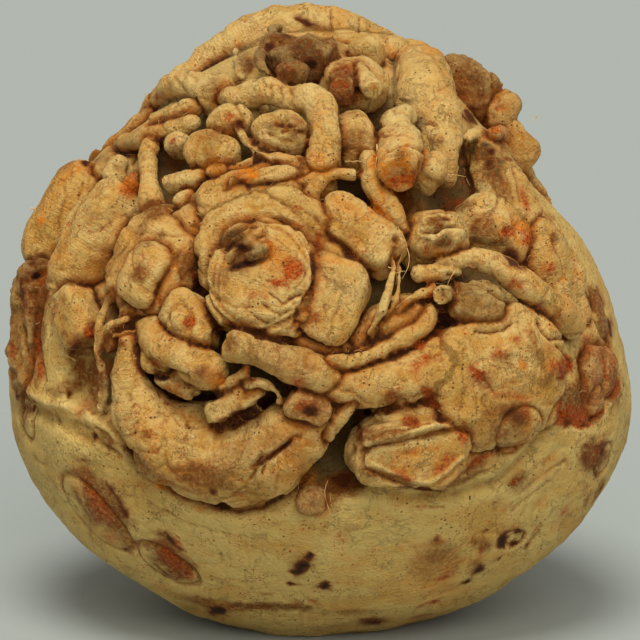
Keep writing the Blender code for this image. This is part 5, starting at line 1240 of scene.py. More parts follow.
        (35.2, -44.9, 1.1, 0.9, -30, 0.45), (27.2, -50.5, 2.6, 0.7, 30, 0.7),
        (25.5, -56.1, 1.5, 0.5, 20, 0.85), (22.4, -57.2, 0.9, 0.5, 20, 0.7),
        (22.2, -60.0, 3.1, 0.4, 8, 0.6), (47.6, -39.7, 0.4, 0.9, 20, 0.6), (4.7, -41.1, 0.9, 1.1, 0, 0.4),
        (7.3, -47.2, 1.1, 0.6, 0, 0.35),
    ),
    "orange": (
        (-9.7, 19.0, 3.4, 2.5, -30, 0.5), (-53.8, 38.5, 4.0, 1.3, 40, 0.5), (-61.1, 27.5, 0.9, 0.9, 0, 1),
        (-22.3, 38.7, 1.9, 2.1, 0, 0.6), (-40.7, 34.3, 2.0, 2.2, 0, 1), (-14.5, 36.4, 1.9, 1.3, -20, 0.9),
        (-21.7, 57.5, 1.3, 0.7, 0, 0.5), (0.0, 38.3, 2.1, 2.6, 0, 0.5), (-11.2, 71.7, 4.5, 1.1, 20, 0.4),
        (17.2, 36.7, 4.7, 4.7, 0, 1), (12.0, 55.8, 0.9, 0.9, 0, 1), (24.6, 65.8, 2.7, 1.3, -30, 0.5),
        (39.2, 47.7, 1.3, 1.1, 0, 0.9), (0.0, 49.7, 1.3, 4.3, 0, 0.3), (12.4, 28.8, 1.9, 1.5, -30, 0.8),
        (14.9, 26.7, 2.1, 1.1, -60, 0.5), (43.8, 24.9, 3.0, 3.0, 0, 0.9), (25.4, 20.6, 1.9, 1.3, 0, 0.5),
        (24.5, 15.0, 2.1, 0.6, 0, 0.3), (53.3, 14.5, 0.7, 0.4, 0, 0.8), (-33.9, -29.8, 1.3, 1.1, 0, 0.9),
        (-25.1, -34.9, 0.9, 0.6, 0, 0.7), (-38.1, -18.1, 2.1, 1.3, -20, 0.3),
        (-26.0, -27.9, 4.3, 2.6, -20, 0.5), (-4.6, -23.0, 2.5, 6.4, 20, 0.4),
        (-22.0, -6.7, 1.9, 1.7, 0, 0.7), (-14.4, -10.2, 2.5, 0.8, 30, 0.3), (3.6, 18.1, 4.2, 0.8, -10, 0.5),
        (43.3, -4.2, 1.3, 1.1, 0, 0.9), (44.9, -16.9, 0.9, 3.0, 0, 0.5), (25.4, -48.6, 7.4, 6.1, 20, 0.3),
        (6.8, 29.2, 4.7, 1.3, -30, 0.5), (19.7, 30.2, 3.0, 4.3, 0, 0.4), (21.7, -22.0, 5.1, 0.4, 8, 0.5),
        (50.7, 4.5, 1.7, 0.9, 0, 0.5), (48.2, -34.1, 1.3, 1.1, 0, 0.5), (49.1, -25.7, 4.3, 2.2, 30, 0.25),
        (5.8, -45.3, 2.2, 1.1, 0, 0.3), (1.5, -34.2, 1.3, 4.3, 0, 0.25),
    ),
    "brown": (
        (-20.4, 15.2, 1.7, 2.5, 0, 0.4), (-5.9, 26.2, 3.4, 0.8, -28, 0.55), (-2.1, 23.7, 0.8, 1.7, 0, 0.5),
        (-34.9, 29.5, 3.0, 1.7, 20, 0.8), (-37.6, 24.8, 0.9, 2.2, -25, 0.6),
        (-33.2, 23.9, 0.9, 0.6, 0, 0.6), (-38.3, 15.1, 2.4, 1.7, 60, 0.75),
        (-27.7, 16.9, 1.7, 2.8, -20, 0.8), (-29.9, 19.1, 1.7, 1.1, 30, 0.5),
        (-56.4, 39.2, 3.6, 0.7, 35, 0.5), (-47.5, 28.1, 2.2, 0.9, 40, 0.4),
        (-45.3, 19.2, 1.7, 3.5, -10, 0.35), (-53.6, 13.7, 1.1, 0.9, 0, 0.7),
        (-44.2, 10.4, 1.7, 2.1, 0, 0.8), (-62.4, 11.1, 3.5, 7.5, 0, 0.75), (-60.7, 0.1, 1.3, 8.7, 0, 0.65),
        (-68.3, 4.5, 1.1, 6.7, 0, 0.5), (-50.0, 0.2, 0.9, 1.7, -30, 0.6), (-54.6, 2.8, 0.6, 1.1, 20, 0.7),
        (-48.6, -5.8, 3.9, 4.7, 0, 0.85), (-51.8, -0.2, 1.7, 3.0, -20, 0.8),
        (-53.6, -8.9, 4.8, 1.3, 10, 0.6), (-58.1, -9.8, 0.9, 0.7, 0, 0.6), (-42.8, 0.3, 1.3, 1.3, 0, 0.9),
        (-18.5, 47.0, 1.7, 1.1, 0, 0.5), (-31.4, 40.1, 1.5, 1.7, 0, 0.9), (-23.7, 41.6, 1.7, 1.1, -20, 0.4),
        (-23.7, 44.5, 2.6, 1.5, 20, 0.4), (-44.1, 39.1, 0.7, 0.7, 0, 0.7), (-47.7, 41.4, 1.8, 1.3, 30, 0.5),
        (-21.4, 38.7, 0.9, 0.6, 0, 0.5), (-6.0, 46.9, 3.9, 1.9, -5, 0.5), (-23.2, 56.6, 2.6, 1.1, 20, 0.55),
        (-28.8, 42.4, 0.9, 1.9, 0, 0.4), (-36.5, 21.7, 2.6, 1.1, 10, 0.35),
        (-26.4, 31.4, 1.9, 1.5, 10, 0.4), (-3.2, 39.2, 1.3, 1.7, 0, 0.6), (-23.3, 62.9, 1.1, 0.7, -30, 0.7),
        (-28.4, 61.1, 0.3, 1.6, -25, 0.7), (-25.3, 62.3, 0.3, 1.6, -30, 0.6),
        (-32.7, 57.8, 2.2, 0.7, 35, 0.4), (-4.0, 75.7, 3.1, 0.7, 0, 0.5), (-16.1, 62.6, 1.8, 2.6, 0, 0.75),
        (-9.3, 67.3, 2.9, 2.7, 20, 0.9), (0.0, 70.8, 3.1, 1.1, -25, 0.8), (-7.4, 59.9, 2.6, 2.0, 0, 0.8),
        (5.4, 57.8, 2.2, 2.8, 0, 0.85), (3.5, 65.8, 1.8, 2.2, 0, 0.5), (21.3, 36.8, 0.9, 3.0, -10, 0.55),
        (17.5, 55.5, 1.1, 1.1, 0, 0.45), (28.2, 40.3, 0.9, 1.7, 0, 0.4), (19.0, 53.7, 2.2, 0.4, -20, 0.35),
        (7.7, 44.0, 2.6, 2.1, 0, 0.6), (7.3, 50.2, 1.3, 0.9, 0, 0.4), (33.2, 58.2, 2.7, 4.0, 0, 0.8),
        (35.2, 53.7, 2.2, 2.2, 0, 0.7), (34.1, 54.6, 2.0, 0.7, 10, 0.5), (42.6, 43.7, 3.1, 1.8, 0, 0.6),
        (45.3, 41.4, 2.2, 2.0, -40, 0.7), (48.8, 44.8, 0.7, 4.0, 0, 0.5), (39.9, 35.2, 2.0, 3.9, 25, 0.6),
        (39.3, 22.7, 2.6, 1.1, 0, 0.8), (35.8, 25.5, 2.6, 2.6, 0, 0.7), (30.9, 30.4, 3.0, 1.1, 10, 0.7),
        (27.6, 34.7, 2.2, 0.9, 10, 0.6), (24.6, 26.4, 1.9, 1.3, 10, 0.9), (29.9, 12.0, 3.0, 1.7, 10, 0.55),
        (32.0, 8.8, 2.1, 1.7, 0, 0.4), (51.2, 23.5, 0.9, 1.1, 0, 0.9), (50.7, 28.3, 1.3, 0.9, -30, 0.5),
        (56.9, 28.0, 3.1, 1.3, -45, 0.5), (61.1, 9.8, 2.0, 3.3, 25, 0.85), (62.9, 4.5, 1.8, 3.7, 15, 0.75),
        (-64.3, -14.0, 1.5, 4.0, -14, 0.8), (-46.5, -34.8, 3.3, 10.0, 31, 0.75),
        (-48.2, -36.7, 2.6, 3.3, -30, 0.5), (-51.6, -34.4, 0.7, 4.8, 28, 0.7),
        (-31.9, -46.3, 2.8, 6.3, 40, 0.9), (-34.8, -46.0, 2.0, 2.6, -20, 0.5),
        (-45.2, -20.4, 2.6, 1.1, -40, 0.6), (-38.2, -25.5, 4.7, 1.5, -48, 0.5),
        (-14.9, -57.2, 13.1, 1.1, 2, 0.8), (-26.0, -56.2, 4.0, 1.1, -22, 0.6),
        (-2.6, -46.2, 2.4, 2.6, 0, 0.3), (-11.5, -54.0, 2.6, 0.4, -5, 0.4),
        (-36.5, -18.5, 1.1, 0.9, 0, 0.7), (-23.0, -27.9, 6.4, 3.0, -8, 0.65),
        (-11.9, -21.3, 9.8, 3.4, 20, 0.35), (-16.9, -14.3, 4.2, 1.1, 26, 0.5),
        (-34.3, -4.4, 1.1, 1.7, -20, 0.7), (-23.9, -6.0, 1.9, 1.7, 0, 0.4), (-21.0, -5.6, 1.1, 0.8, 0, 0.5),
        (-28.9, 2.4, 2.6, 0.6, -30, 0.4), (-17.5, 0.8, 1.7, 2.3, -20, 0.65), (0.5, -11.3, 1.7, 2.1, 0, 0.5),
        (0.5, 21.1, 1.7, 2.5, 0, 0.5), (7.2, 23.7, 2.1, 1.7, -30, 0.3), (11.0, 5.6, 3.8, 0.6, 35, 0.4),
        (15.5, -11.1, 1.9, 2.3, -10, 0.7), (34.8, -6.9, 0.9, 2.6, 48, 0.6), (38.7, -2.1, 1.9, 1.3, 0, 0.4),
        (39.6, -16.0, 5.3, 4.7, 0, 0.55), (38.3, -12.9, 1.9, 1.5, 0, 0.5),
        (-6.7, -2.2, 11.8, 3.4, -18, 0.35), (60.4, -23.9, 3.1, 3.5, 0, 0.9),
        (35.7, -15.7, 1.3, 1.3, 0, 0.4), (40.1, -21.1, 3.0, 0.9, 10, 0.6), (19.8, -16.0, 1.1, 0.7, 0, 0.6),
        (13.2, -18.7, 5.1, 1.7, 6, 0.6), (26.6, -18.0, 4.7, 0.6, 10, 0.7),
        (13.2, -26.9, 6.4, 0.9, -14, 0.7), (31.5, -27.5, 5.6, 1.3, 28, 0.6),
        (34.2, -24.7, 1.7, 0.9, 25, 0.5), (4.3, -31.2, 3.8, 2.1, 15, 0.7), (52.5, -5.0, 1.3, 1.7, 0, 0.6),
        (48.8, -7.1, 1.1, 1.7, -30, 0.7), (56.4, -11.1, 3.5, 3.9, -20, 0.85),
        (64.7, -7.6, 1.8, 5.3, 6, 0.7), (61.7, -1.0, 1.8, 2.2, 30, 0.6), (46.6, -0.2, 0.9, 3.4, 20, 0.55),
        (60.9, -24.2, 2.8, 3.3, -25, 0.85), (43.3, -28.6, 2.6, 1.5, 38, 0.75),
        (54.1, -25.0, 1.1, 0.7, -20, 0.4), (37.9, -33.8, 1.3, 0.4, 35, 0.6),
        (35.3, -43.3, 1.9, 1.3, -5, 0.7), (34.4, -48.2, 2.0, 1.7, 30, 0.5),
        (26.4, -46.5, 5.6, 3.9, 15, 0.35), (11.7, -60.8, 2.9, 1.1, 0, 0.9), (7.0, -58.1, 6.6, 0.5, 0, 0.45),
        (48.1, -40.5, 0.4, 3.5, -34, 0.6), (62.1, -32.1, 0.7, 2.7, -25, 0.7),
        (59.6, -33.4, 0.4, 2.6, -25, 0.6), (7.3, -38.7, 1.7, 0.9, 0, 0.3),
    ),
}
FAMILY_STAINS = {  # growths stained all over: family, then rust, brown, grey, dark
    "crust": (0.1, 0.35, 0.3, 0.0), "scab": (0.15, 0.2, 0.1, 0.0), "corky": (0.15, 0.2, 0.0, 0.0),
    "nut": (0.45, 0.5, 0.0, 0.0), "dark": (0.1, 0.8, 0.0, 0.2), "orange": (0.5, 0.2, 0.0, 0.0),
    "edge": (0.1, 0.25, 0.0, 0.0), "rough": (0.0, 0.1, 0.0, 0.0), "hollow": (0.15, 0.3, 0.0, 0.0),
    "patch": (0.35, 0.4, 0.0, 0.0), "pit": (0.2, 0.4, 0.0, 0.0),
    "stalk": (0.05, 0.2, 0.05, 0.0), "nub": (0.1, 0.25, 0.0, 0.0),
}
print({kind: len(marks) for kind, marks in MARKS.items()})

# %% [markdown]
# A mark counts fully in its middle and fades at a ragged edge. Where two of one kind meet, the
# stronger one counts.

# %% Put the marks on the skin
STAIN_ORDER = ("rust", "brown", "grey", "dark", "orange", "pale")
RAGGED_EDGE = ((0.50, 2.6, 21), (0.32, 1.0, 22))  # height, size, seed
MARKS_BEFORE = 4.0  # marks are put on what lies this far before the middle of the bulb
MARK_END = 1.45  # where a mark has faded out, beside its half length and half width
MARK_FADE = 0.85  # over how much of them it fades
FAMILY_PATCHES = ((0.5, 2.6, 23),)
FAMILY_SHARE = 0.8

ragged = layered(points, RAGGED_EDGE)
seen_across, seen_up = points @ RIGHT, points @ UP
in_view = facing_front(normals) * (points @ INWARD < -MARKS_BEFORE)
stains = {kind: np.zeros(len(points)) for kind in STAIN_ORDER}
for kind, marks in MARKS.items():
    for across, up, half_length, half_width, turn, strength in marks:
        turn = math.radians(turn)
        x, y = seen_across - across, seen_up - up
        along = x * math.cos(turn) + y * math.sin(turn)
        beside = y * math.cos(turn) - x * math.sin(turn)
        reach = np.hypot(along / half_length, beside / half_width) + ragged
        shade = strength * ease((MARK_END - reach) / MARK_FADE)
        stains[kind] = np.maximum(stains[kind], shade * in_view)
patches = FAMILY_SHARE + layered(points, FAMILY_PATCHES)
for stained, shades in FAMILY_STAINS.items():
    mine = spread(family_name == stained, 2)
    for kind, shade in zip(STAIN_ORDER, shades):
        stains[kind] = np.maximum(stains[kind], shade * mine * patches)
print({kind: int((values > 0.5).sum()) for kind, values in stains.items()})

# %% [markdown]
# Everything that the material needs is now written on the points of the skin, as shares from 0 to 1.
# Hollows and ridges count in full from a given depth. Each growth also gets a tint of its own.

# %% Write the values on the points
FULL_CREASE = 0.24  # millimetres, as the next three are
FULL_RIDGE = 0.22
FULL_GAP = 2.4
DEEP_STARTS = 3.0  # the floor of the tangle goes dark from here, over as much again
DEEP_SHARE = 0.8
JOIN_GAIN = 3.0
TINT_SEED = 4
TINT_ROUNDS = 4

tints = np.random.default_rng(TINT_SEED).uniform(0.0, 1.0, len(grown))
# The deep floor of the tangle is darkened with painted shade, which also stands for soil there.
deep_floor_shade = ease((hollow_depth(seen_across, seen_up) - DEEP_STARTS) / DEEP_STARTS) * (points @ INWARD < 0.0)
# The values for creases, gaps and joins darken the skin with painted shade, creases and gaps with soil as
# well; the value for ridges lightens them with a painted highlight as well as wear.
values_of_skin = {
    "crease": fine_hollow / FULL_CREASE,
    "ridge": -fine_hollow / FULL_RIDGE,
    "gap": np.maximum(wide_hollow / FULL_GAP, DEEP_SHARE * deep_floor_shade * floor_of_tangle),
    "join": JOIN_GAIN * shade_round_crease,
    "bulb_share": floor_of_tangle,
    "roughness_share": rough,
    "tint": spread(tints[family], TINT_ROUNDS),
    **{"stain_" + kind: values for kind, values in stains.items()},
}
for name, values in values_of_skin.items():
    layer = skin.data.attributes.new(name, "FLOAT", "POINT")
    layer.data.foreach_set("value", np.clip(values, 0.0, 1.0))
layer = skin.data.attributes.new("grain", "FLOAT_VECTOR", "POINT")
layer.data.foreach_set("vector", np.ravel(grain))
print("values on the skin:", ", ".join(values_of_skin), "and grain")

# %% [markdown]
# ## The resting spot, and fewer faces
#
# The root stands on a small flat spot. Everything under it is cut off and the cut is filled. Then
# faces are taken away: first most of those on the back, which is looked at least, then by Decimate
# wherever the skin is even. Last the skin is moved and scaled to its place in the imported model.

# %% Cut the foot, thin the mesh and place it
SKIN_TRIANGLES = 192000
BACK_SHARE = 0.16  # of the back's faces this share is kept
BACK_STARTS = 6.0  # this far behind the middle

bpy.ops.object.mode_set(mode="EDIT")
bpy.ops.mesh.select_all(action="SELECT")
bpy.ops.mesh.bisect(
    plane_co=(0.0, 0.0, FOOT_LEVEL), plane_no=(0.0, 0.0, 1.0), use_fill=True, clear_inner=True)
bpy.ops.mesh.select_all(action="SELECT")
bpy.ops.mesh.quads_convert_to_tris()
bpy.ops.mesh.select_mode(type="VERT")
bpy.ops.mesh.select_all(action="DESELECT")
bpy.ops.object.mode_set(mode="OBJECT")
behind = mesh_points(skin.data) @ INWARD > BACK_STARTS
skin.data.vertices.foreach_set("select", behind)
bpy.ops.object.mode_set(mode="EDIT")
bpy.ops.mesh.decimate(ratio=BACK_SHARE)
bpy.ops.object.mode_set(mode="OBJECT")
print("after thinning the back:", len(skin.data.polygons), "faces")
ratio = min(1.0, SKIN_TRIANGLES / len(skin.data.polygons))
apply_modifier(skin, "DECIMATE", ratio=ratio, use_collapse_triangulate=True)
skin.data.transform(Matrix.Translation(BULB_MIDDLE) @ Matrix.Scale(MM, 4))
skin.data.update()
bpy.ops.object.shade_smooth()
print("skin:", len(skin.data.polygons), "triangles, grain kept:", "grain" in skin.data.attributes)

# %% [markdown]
# ## The skin's finish
#
# The colour is built up in layers, as the real one was: pale cream skin, cloudy ochre and thin winding
# cracks over it, brown in the creases from soil and painted shade, then the stains, and tiny dark pores
# last. Patterns are taken in millimetres from the object's own coordinates, and fibres from the grain,
# so they turn with each root. The helpers below keep each layer on a line or two.

# %% Helpers for materials
def colour(red, green, blue):
    """A colour as a screen shows it, 0 to 255, as the light values that shaders use."""
    shares = np.array((red, green, blue)) / 255.0
    linear = np.where(shares <= 0.04045, shares / 12.92, ((shares + 0.055) / 1.055) ** 2.4)
    return (*linear.tolist(), 1.0)


def add_node(tree, kind, sockets=(), **settings):
    node = tree.nodes.new(kind)
    for name, value in settings.items():
        setattr(node, name, value)
    for name, value in dict(sockets).items():
        if isinstance(value, bpy.types.NodeSocket):
            tree.links.new(value, node.inputs[name])
        else:
            node.inputs[name].default_value = value
    return node


def maths(tree, operation, first, second=0.0):
    return add_node(tree, "ShaderNodeMath", {0: first, 1: second}, operation=operation).outputs[0]


def share_of(tree, value, low, high):
    """0 where the value is at low or under, 1 at high or over."""
    sockets = {"Value": value, "From Min": low, "From Max": high}
    return add_node(tree, "ShaderNodeMapRange", sockets).outputs[0]


def paint(tree, under, over, share, strength=1.0):
    """One colour over another, as much as the share times the strength says."""
    factor = share if strength == 1.0 else maths(tree, "MULTIPLY", share, strength)
    sockets = {0: factor, 6: under, 7: over}
    return add_node(tree, "ShaderNodeMix", sockets, data_type="RGBA").outputs[2]


def cloud(tree, vector, scale, detail=3.0, roughness=0.55, distortion=0.0):
    sockets = {"Vector": vector, "Scale": scale, "Detail": detail, "Roughness": roughness,
               "Distortion": distortion}
    return add_node(tree, "ShaderNodeTexNoise", sockets).outputs[0]


def stretched(tree, vector, scale):
    return add_node(tree, "ShaderNodeMapping", {"Vector": vector, "Scale": scale}).outputs[0]


def point_value(tree, name, output="Fac"):
    return add_node(tree, "ShaderNodeAttribute", attribute_name=name).outputs[output]


def product_of(tree, *values):
    result = values[0]
    for value in values[1:]:
        result = maths(tree, "MULTIPLY", result, value)
    return result


def in_millimetres(tree):
    """The object's own coordinates, in millimetres."""
    here = add_node(tree, "ShaderNodeTexCoord").outputs["Object"]
    return stretched(tree, here, (1.0 / MM, 1.0 / MM, 1.0 / MM))


print("half grey on a screen is", round(colour(128, 128, 128)[0], 3), "as light")

# %% [markdown]
# First come the skin tones. The bulb's open skin is smoother than the roots and streaked from top to
# bottom. Ridges go pale again at the end, partly as rubbed wear and partly as a painted highlight.

# %% Colours of the skin
SKIN_PALE = colour(230, 196, 122)
SKIN_CREAM = colour(206, 160, 80)
BULB_SKIN = colour(228, 199, 116)
SKIN_OCHRE = colour(208, 146, 54)
SKIN_TAN = colour(182, 106, 28)
# brown of cracks and dark stains, and of soil with painted shade in the creases
STAIN_AND_CREASE_SHADE_BROWN = colour(132, 64, 12)
# nearly black, for soil with painted shade in the gaps and the deepest creases
GAP_SOIL_AND_SHADE = colour(52, 24, 6)
RUST = colour(196, 84, 8)
RUST_DARK = colour(138, 56, 6)
ORANGE = colour(226, 130, 22)
SCAR_BROWN = colour(150, 84, 22)
CRUST_GREY = colour(116, 86, 44)
SOIL = colour(42, 20, 5)
CRACK_SCALE = 0.30


def cracks(tree, place, scale, width):
    """Thin winding lines where a noise passes its middle, 1 on the line, in patches."""
    wavy = cloud(tree, place, scale, 5.0, 0.6)
    away = maths(tree, "ABSOLUTE", maths(tree, "SUBTRACT", wavy, 0.5))
    patches = share_of(tree, cloud(tree, place, 0.17, 3.0), 0.44, 0.58)
    return product_of(tree, share_of(tree, away, width, 0.0), patches)


def skin_colour(tree, place, grain):
    """The socket with the skin's colour."""
    broad = cloud(tree, place, 0.055, 2.0)
    mottle = cloud(tree, place, 0.30, 5.0, 0.6)
    fine = cloud(tree, place, 1.3, 6.0, 0.65)
    fibres = cloud(tree, stretched(tree, grain, (1.9, 0.22, 0.22)), 1.0, 3.0, 0.6)
    warm = cloud(tree, place, 0.10, 3.0, 0.6, 0.5)
    result = paint(tree, SKIN_CREAM, SKIN_PALE, share_of(tree, broad, 0.40, 0.55))
    for tone, share, strength in (
            (ORANGE, share_of(tree, warm, 0.52, 0.66), 0.5),
            (SKIN_OCHRE, point_value(tree, "tint"), 0.45),
            (SKIN_OCHRE, share_of(tree, mottle, 0.48, 0.62), 0.7),
            (SKIN_TAN, share_of(tree, fine, 0.46, 0.36), 0.6),
            (SKIN_PALE, share_of(tree, fine, 0.56, 0.68), 0.55),
            (SKIN_TAN, share_of(tree, fibres, 0.54, 0.72), 0.40),
            (STAIN_AND_CREASE_SHADE_BROWN, cracks(tree, place, CRACK_SCALE, 0.018), 0.35)):
        result = paint(tree, result, tone, share, strength)
    streaks = cloud(tree, stretched(tree, place, (0.5, 0.5, 1.2)), 0.12, 4.0, 0.6)
    smooth = paint(tree, BULB_SKIN, SKIN_OCHRE, share_of(tree, streaks, 0.46, 0.66), 0.7)
    smooth = paint(tree, smooth, result, 0.25)
    result = paint(tree, result, smooth, point_value(tree, "bulb_share"), 0.9)
    # ridges are lightened with a painted highlight as well as rubbed wear
    return paint(tree, result, SKIN_PALE, point_value(tree, "ridge"), 0.85)


print("the palest skin is", SKIN_PALE[:3])

# %% [markdown]
# Over the skin tones go the hollows: painted shade makes the skin tan near a join, and soil and painted
# shade make it brown in a crease and nearly black in a gap. Then come the stains. Each stain is broken
# up by flecks, so that none looks painted on.

# %% Colours of hollows and stains
def with_hollow_soil_and_shade(tree, under, place):
    """Brown in the creases and nearly black in the gaps, from soil and painted shade."""
    patchy = share_of(tree, cloud(tree, place, 0.5, 4.0), 0.3, 0.7)
    join_shade = maths(tree, "MULTIPLY", point_value(tree, "join"), maths(tree, "ADD", patchy, 0.45))
    crease = point_value(tree, "crease")
    gap = share_of(tree, point_value(tree, "gap"), 0.22, 0.85)
    # painted shade: tan round the joins between growths
    result = paint(tree, under, SKIN_TAN, join_shade, 0.8)
    # soil and painted shade: brown in the creases, nearly black in the gaps and the bottoms of the creases
    result = paint(tree, result, STAIN_AND_CREASE_SHADE_BROWN, crease, 0.85)
    result = paint(tree, result, GAP_SOIL_AND_SHADE, gap, 0.88)
    return paint(tree, result, GAP_SOIL_AND_SHADE, share_of(tree, crease, 0.75, 1.0), 0.6)


def with_stains(tree, under, place):
    """The stains, broken up by flecks, with rusty freckles everywhere and soil in the pits."""
    flecks = maths(tree, "ADD", share_of(tree, cloud(tree, place, 1.1, 5.0, 0.7), 0.38, 0.60), 0.6)
    woody = share_of(tree, cloud(tree, place, 0.9, 4.0), 0.42, 0.58)
    crust_tone = paint(tree, CRUST_GREY, SCAR_BROWN, woody)
    burnt = share_of(tree, cloud(tree, place, 2.1, 3.0), 0.45, 0.6)
    rust_tone = paint(tree, RUST, RUST_DARK, burnt)
    freckles = product_of(tree, share_of(tree, cloud(tree, place, 0.22, 3.0), 0.48, 0.62),
                          share_of(tree, cloud(tree, place, 1.7, 3.0, 0.6), 0.56, 0.66), 0.85)
    rusty = maths(tree, "MAXIMUM", point_value(tree, "stain_rust"), freckles)
    result = under
    for stain, tone, strength in (
            (point_value(tree, "stain_orange"), ORANGE, 0.85),
            (point_value(tree, "stain_brown"), SCAR_BROWN, 0.92),
            (point_value(tree, "stain_grey"), crust_tone, 0.95),
            (rusty, rust_tone, 1.0)):
        result = paint(tree, result, tone, maths(tree, "MULTIPLY", stain, flecks), strength)
    result = paint(tree, result, SKIN_PALE, point_value(tree, "stain_pale"), 0.8)
    dark = point_value(tree, "stain_dark")
    result = paint(tree, result, STAIN_AND_CREASE_SHADE_BROWN, dark, 1.7)
    return paint(tree, result, SOIL, share_of(tree, dark, 0.3, 0.95))


def pores(tree, place):
    """Small dark pores in clusters, from 1 in their middle to 0."""
    cells = add_node(tree, "ShaderNodeTexVoronoi", {"Vector": place, "Scale": 0.95})
    chosen = share_of(tree, cloud(tree, place, 0.16, 3.0), 0.49, 0.58)
    shade = add_node(tree, "ShaderNodeSeparateColor", {0: cells.outputs["Color"]}).outputs[0]
    chosen = maths(tree, "MULTIPLY", chosen, share_of(tree, shade, 0.60, 0.68))
    return product_of(tree, share_of(tree, cells.outputs["Distance"], 0.24, 0.13), chosen)


print("the darkest gap is", GAP_SOIL_AND_SHADE[:3])

# %% [markdown]
# A bump makes the finest relief: threads and rings along the grain, small grains of skin, dents at
# the pores and a crumbly surface on crust. A bump only turns the light, so it costs no faces.

# %% The skin material
BUMP_DEPTH = 1.6 * MM
SHINE = 0.22
ROUGHNESS = (0.54, 0.18)  # the least, and how much rougher the dullest skin is


def skin_bump(tree, place, grain, pits):
    """The fine relief of the skin, as a normal for the shader."""
    threads = cloud(tree, stretched(tree, grain, (2.6, 0.3, 0.3)), 1.0, 4.0, 0.6)
    grains = cloud(tree, place, 1.3, 6.0, 0.65)
    crumbs = cloud(tree, place, 0.9, 6.0, 0.75, 0.8)
    crumbly = maths(tree, "MAXIMUM", point_value(tree, "roughness_share"), point_value(tree, "stain_grey"))
    crumbly = maths(tree, "MAXIMUM", crumbly, point_value(tree, "stain_brown"))
    sockets = {"Vector": place, "Scale": 0.42, "Detail": 6.0, "Roughness": 0.55, "Distortion": 0.6}
    crinkles = add_node(tree, "ShaderNodeTexNoise", sockets, noise_type="RIDGED_MULTIFRACTAL").outputs[0]
    height = 0.0
    for layer, share in (
            (threads, 0.30), (grains, 0.5), (maths(tree, "MULTIPLY", crumbs, crumbly), 1.1), (pits, -0.5),
            (crinkles, -0.17), (cracks(tree, place, CRACK_SCALE, 0.024), -0.16)):
        height = maths(tree, "ADD", height, maths(tree, "MULTIPLY", layer, share))
    sockets = {"Strength": 1.0, "Distance": BUMP_DEPTH, "Height": height}
    return add_node(tree, "ShaderNodeBump", sockets).outputs[0]


def skin_material():
    material = bpy.data.materials.new("celeriac_skin")
    material.use_nodes = True
    tree = material.node_tree
    shader = tree.nodes["Principled BSDF"]
    place = in_millimetres(tree)
    grain_value = point_value(tree, "grain", "Vector")
    pits = pores(tree, place)
    result = with_hollow_soil_and_shade(tree, skin_colour(tree, place, grain_value), place)
    result = with_stains(tree, result, place)
    tree.links.new(paint(tree, result, SOIL, pits, 0.8), shader.inputs["Base Color"])
    shader.inputs["Specular IOR Level"].default_value = SHINE
    dull = maths(tree, "MULTIPLY", share_of(tree, cloud(tree, place, 0.8, 3.0), 0.3, 0.7), ROUGHNESS[1])
    tree.links.new(maths(tree, "ADD", dull, ROUGHNESS[0]), shader.inputs["Roughness"])
    tree.links.new(skin_bump(tree, place, grain_value, pits), shader.inputs["Normal"])
    return material


skin.data.materials.clear()
skin.data.materials.append(skin_material())
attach(skin, "root")
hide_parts("celeriac")
print("the skin material has", len(skin.data.materials[0].node_tree.nodes), "nodes")

# %% [markdown]
# ## Fine rootlets and hairs
#
# A few thin rootlets were left on the root, and short hairs stand in the creases. The rootlets are
# placed one by one, the hairs are scattered by a seeded draw. All are thin tapered curves.

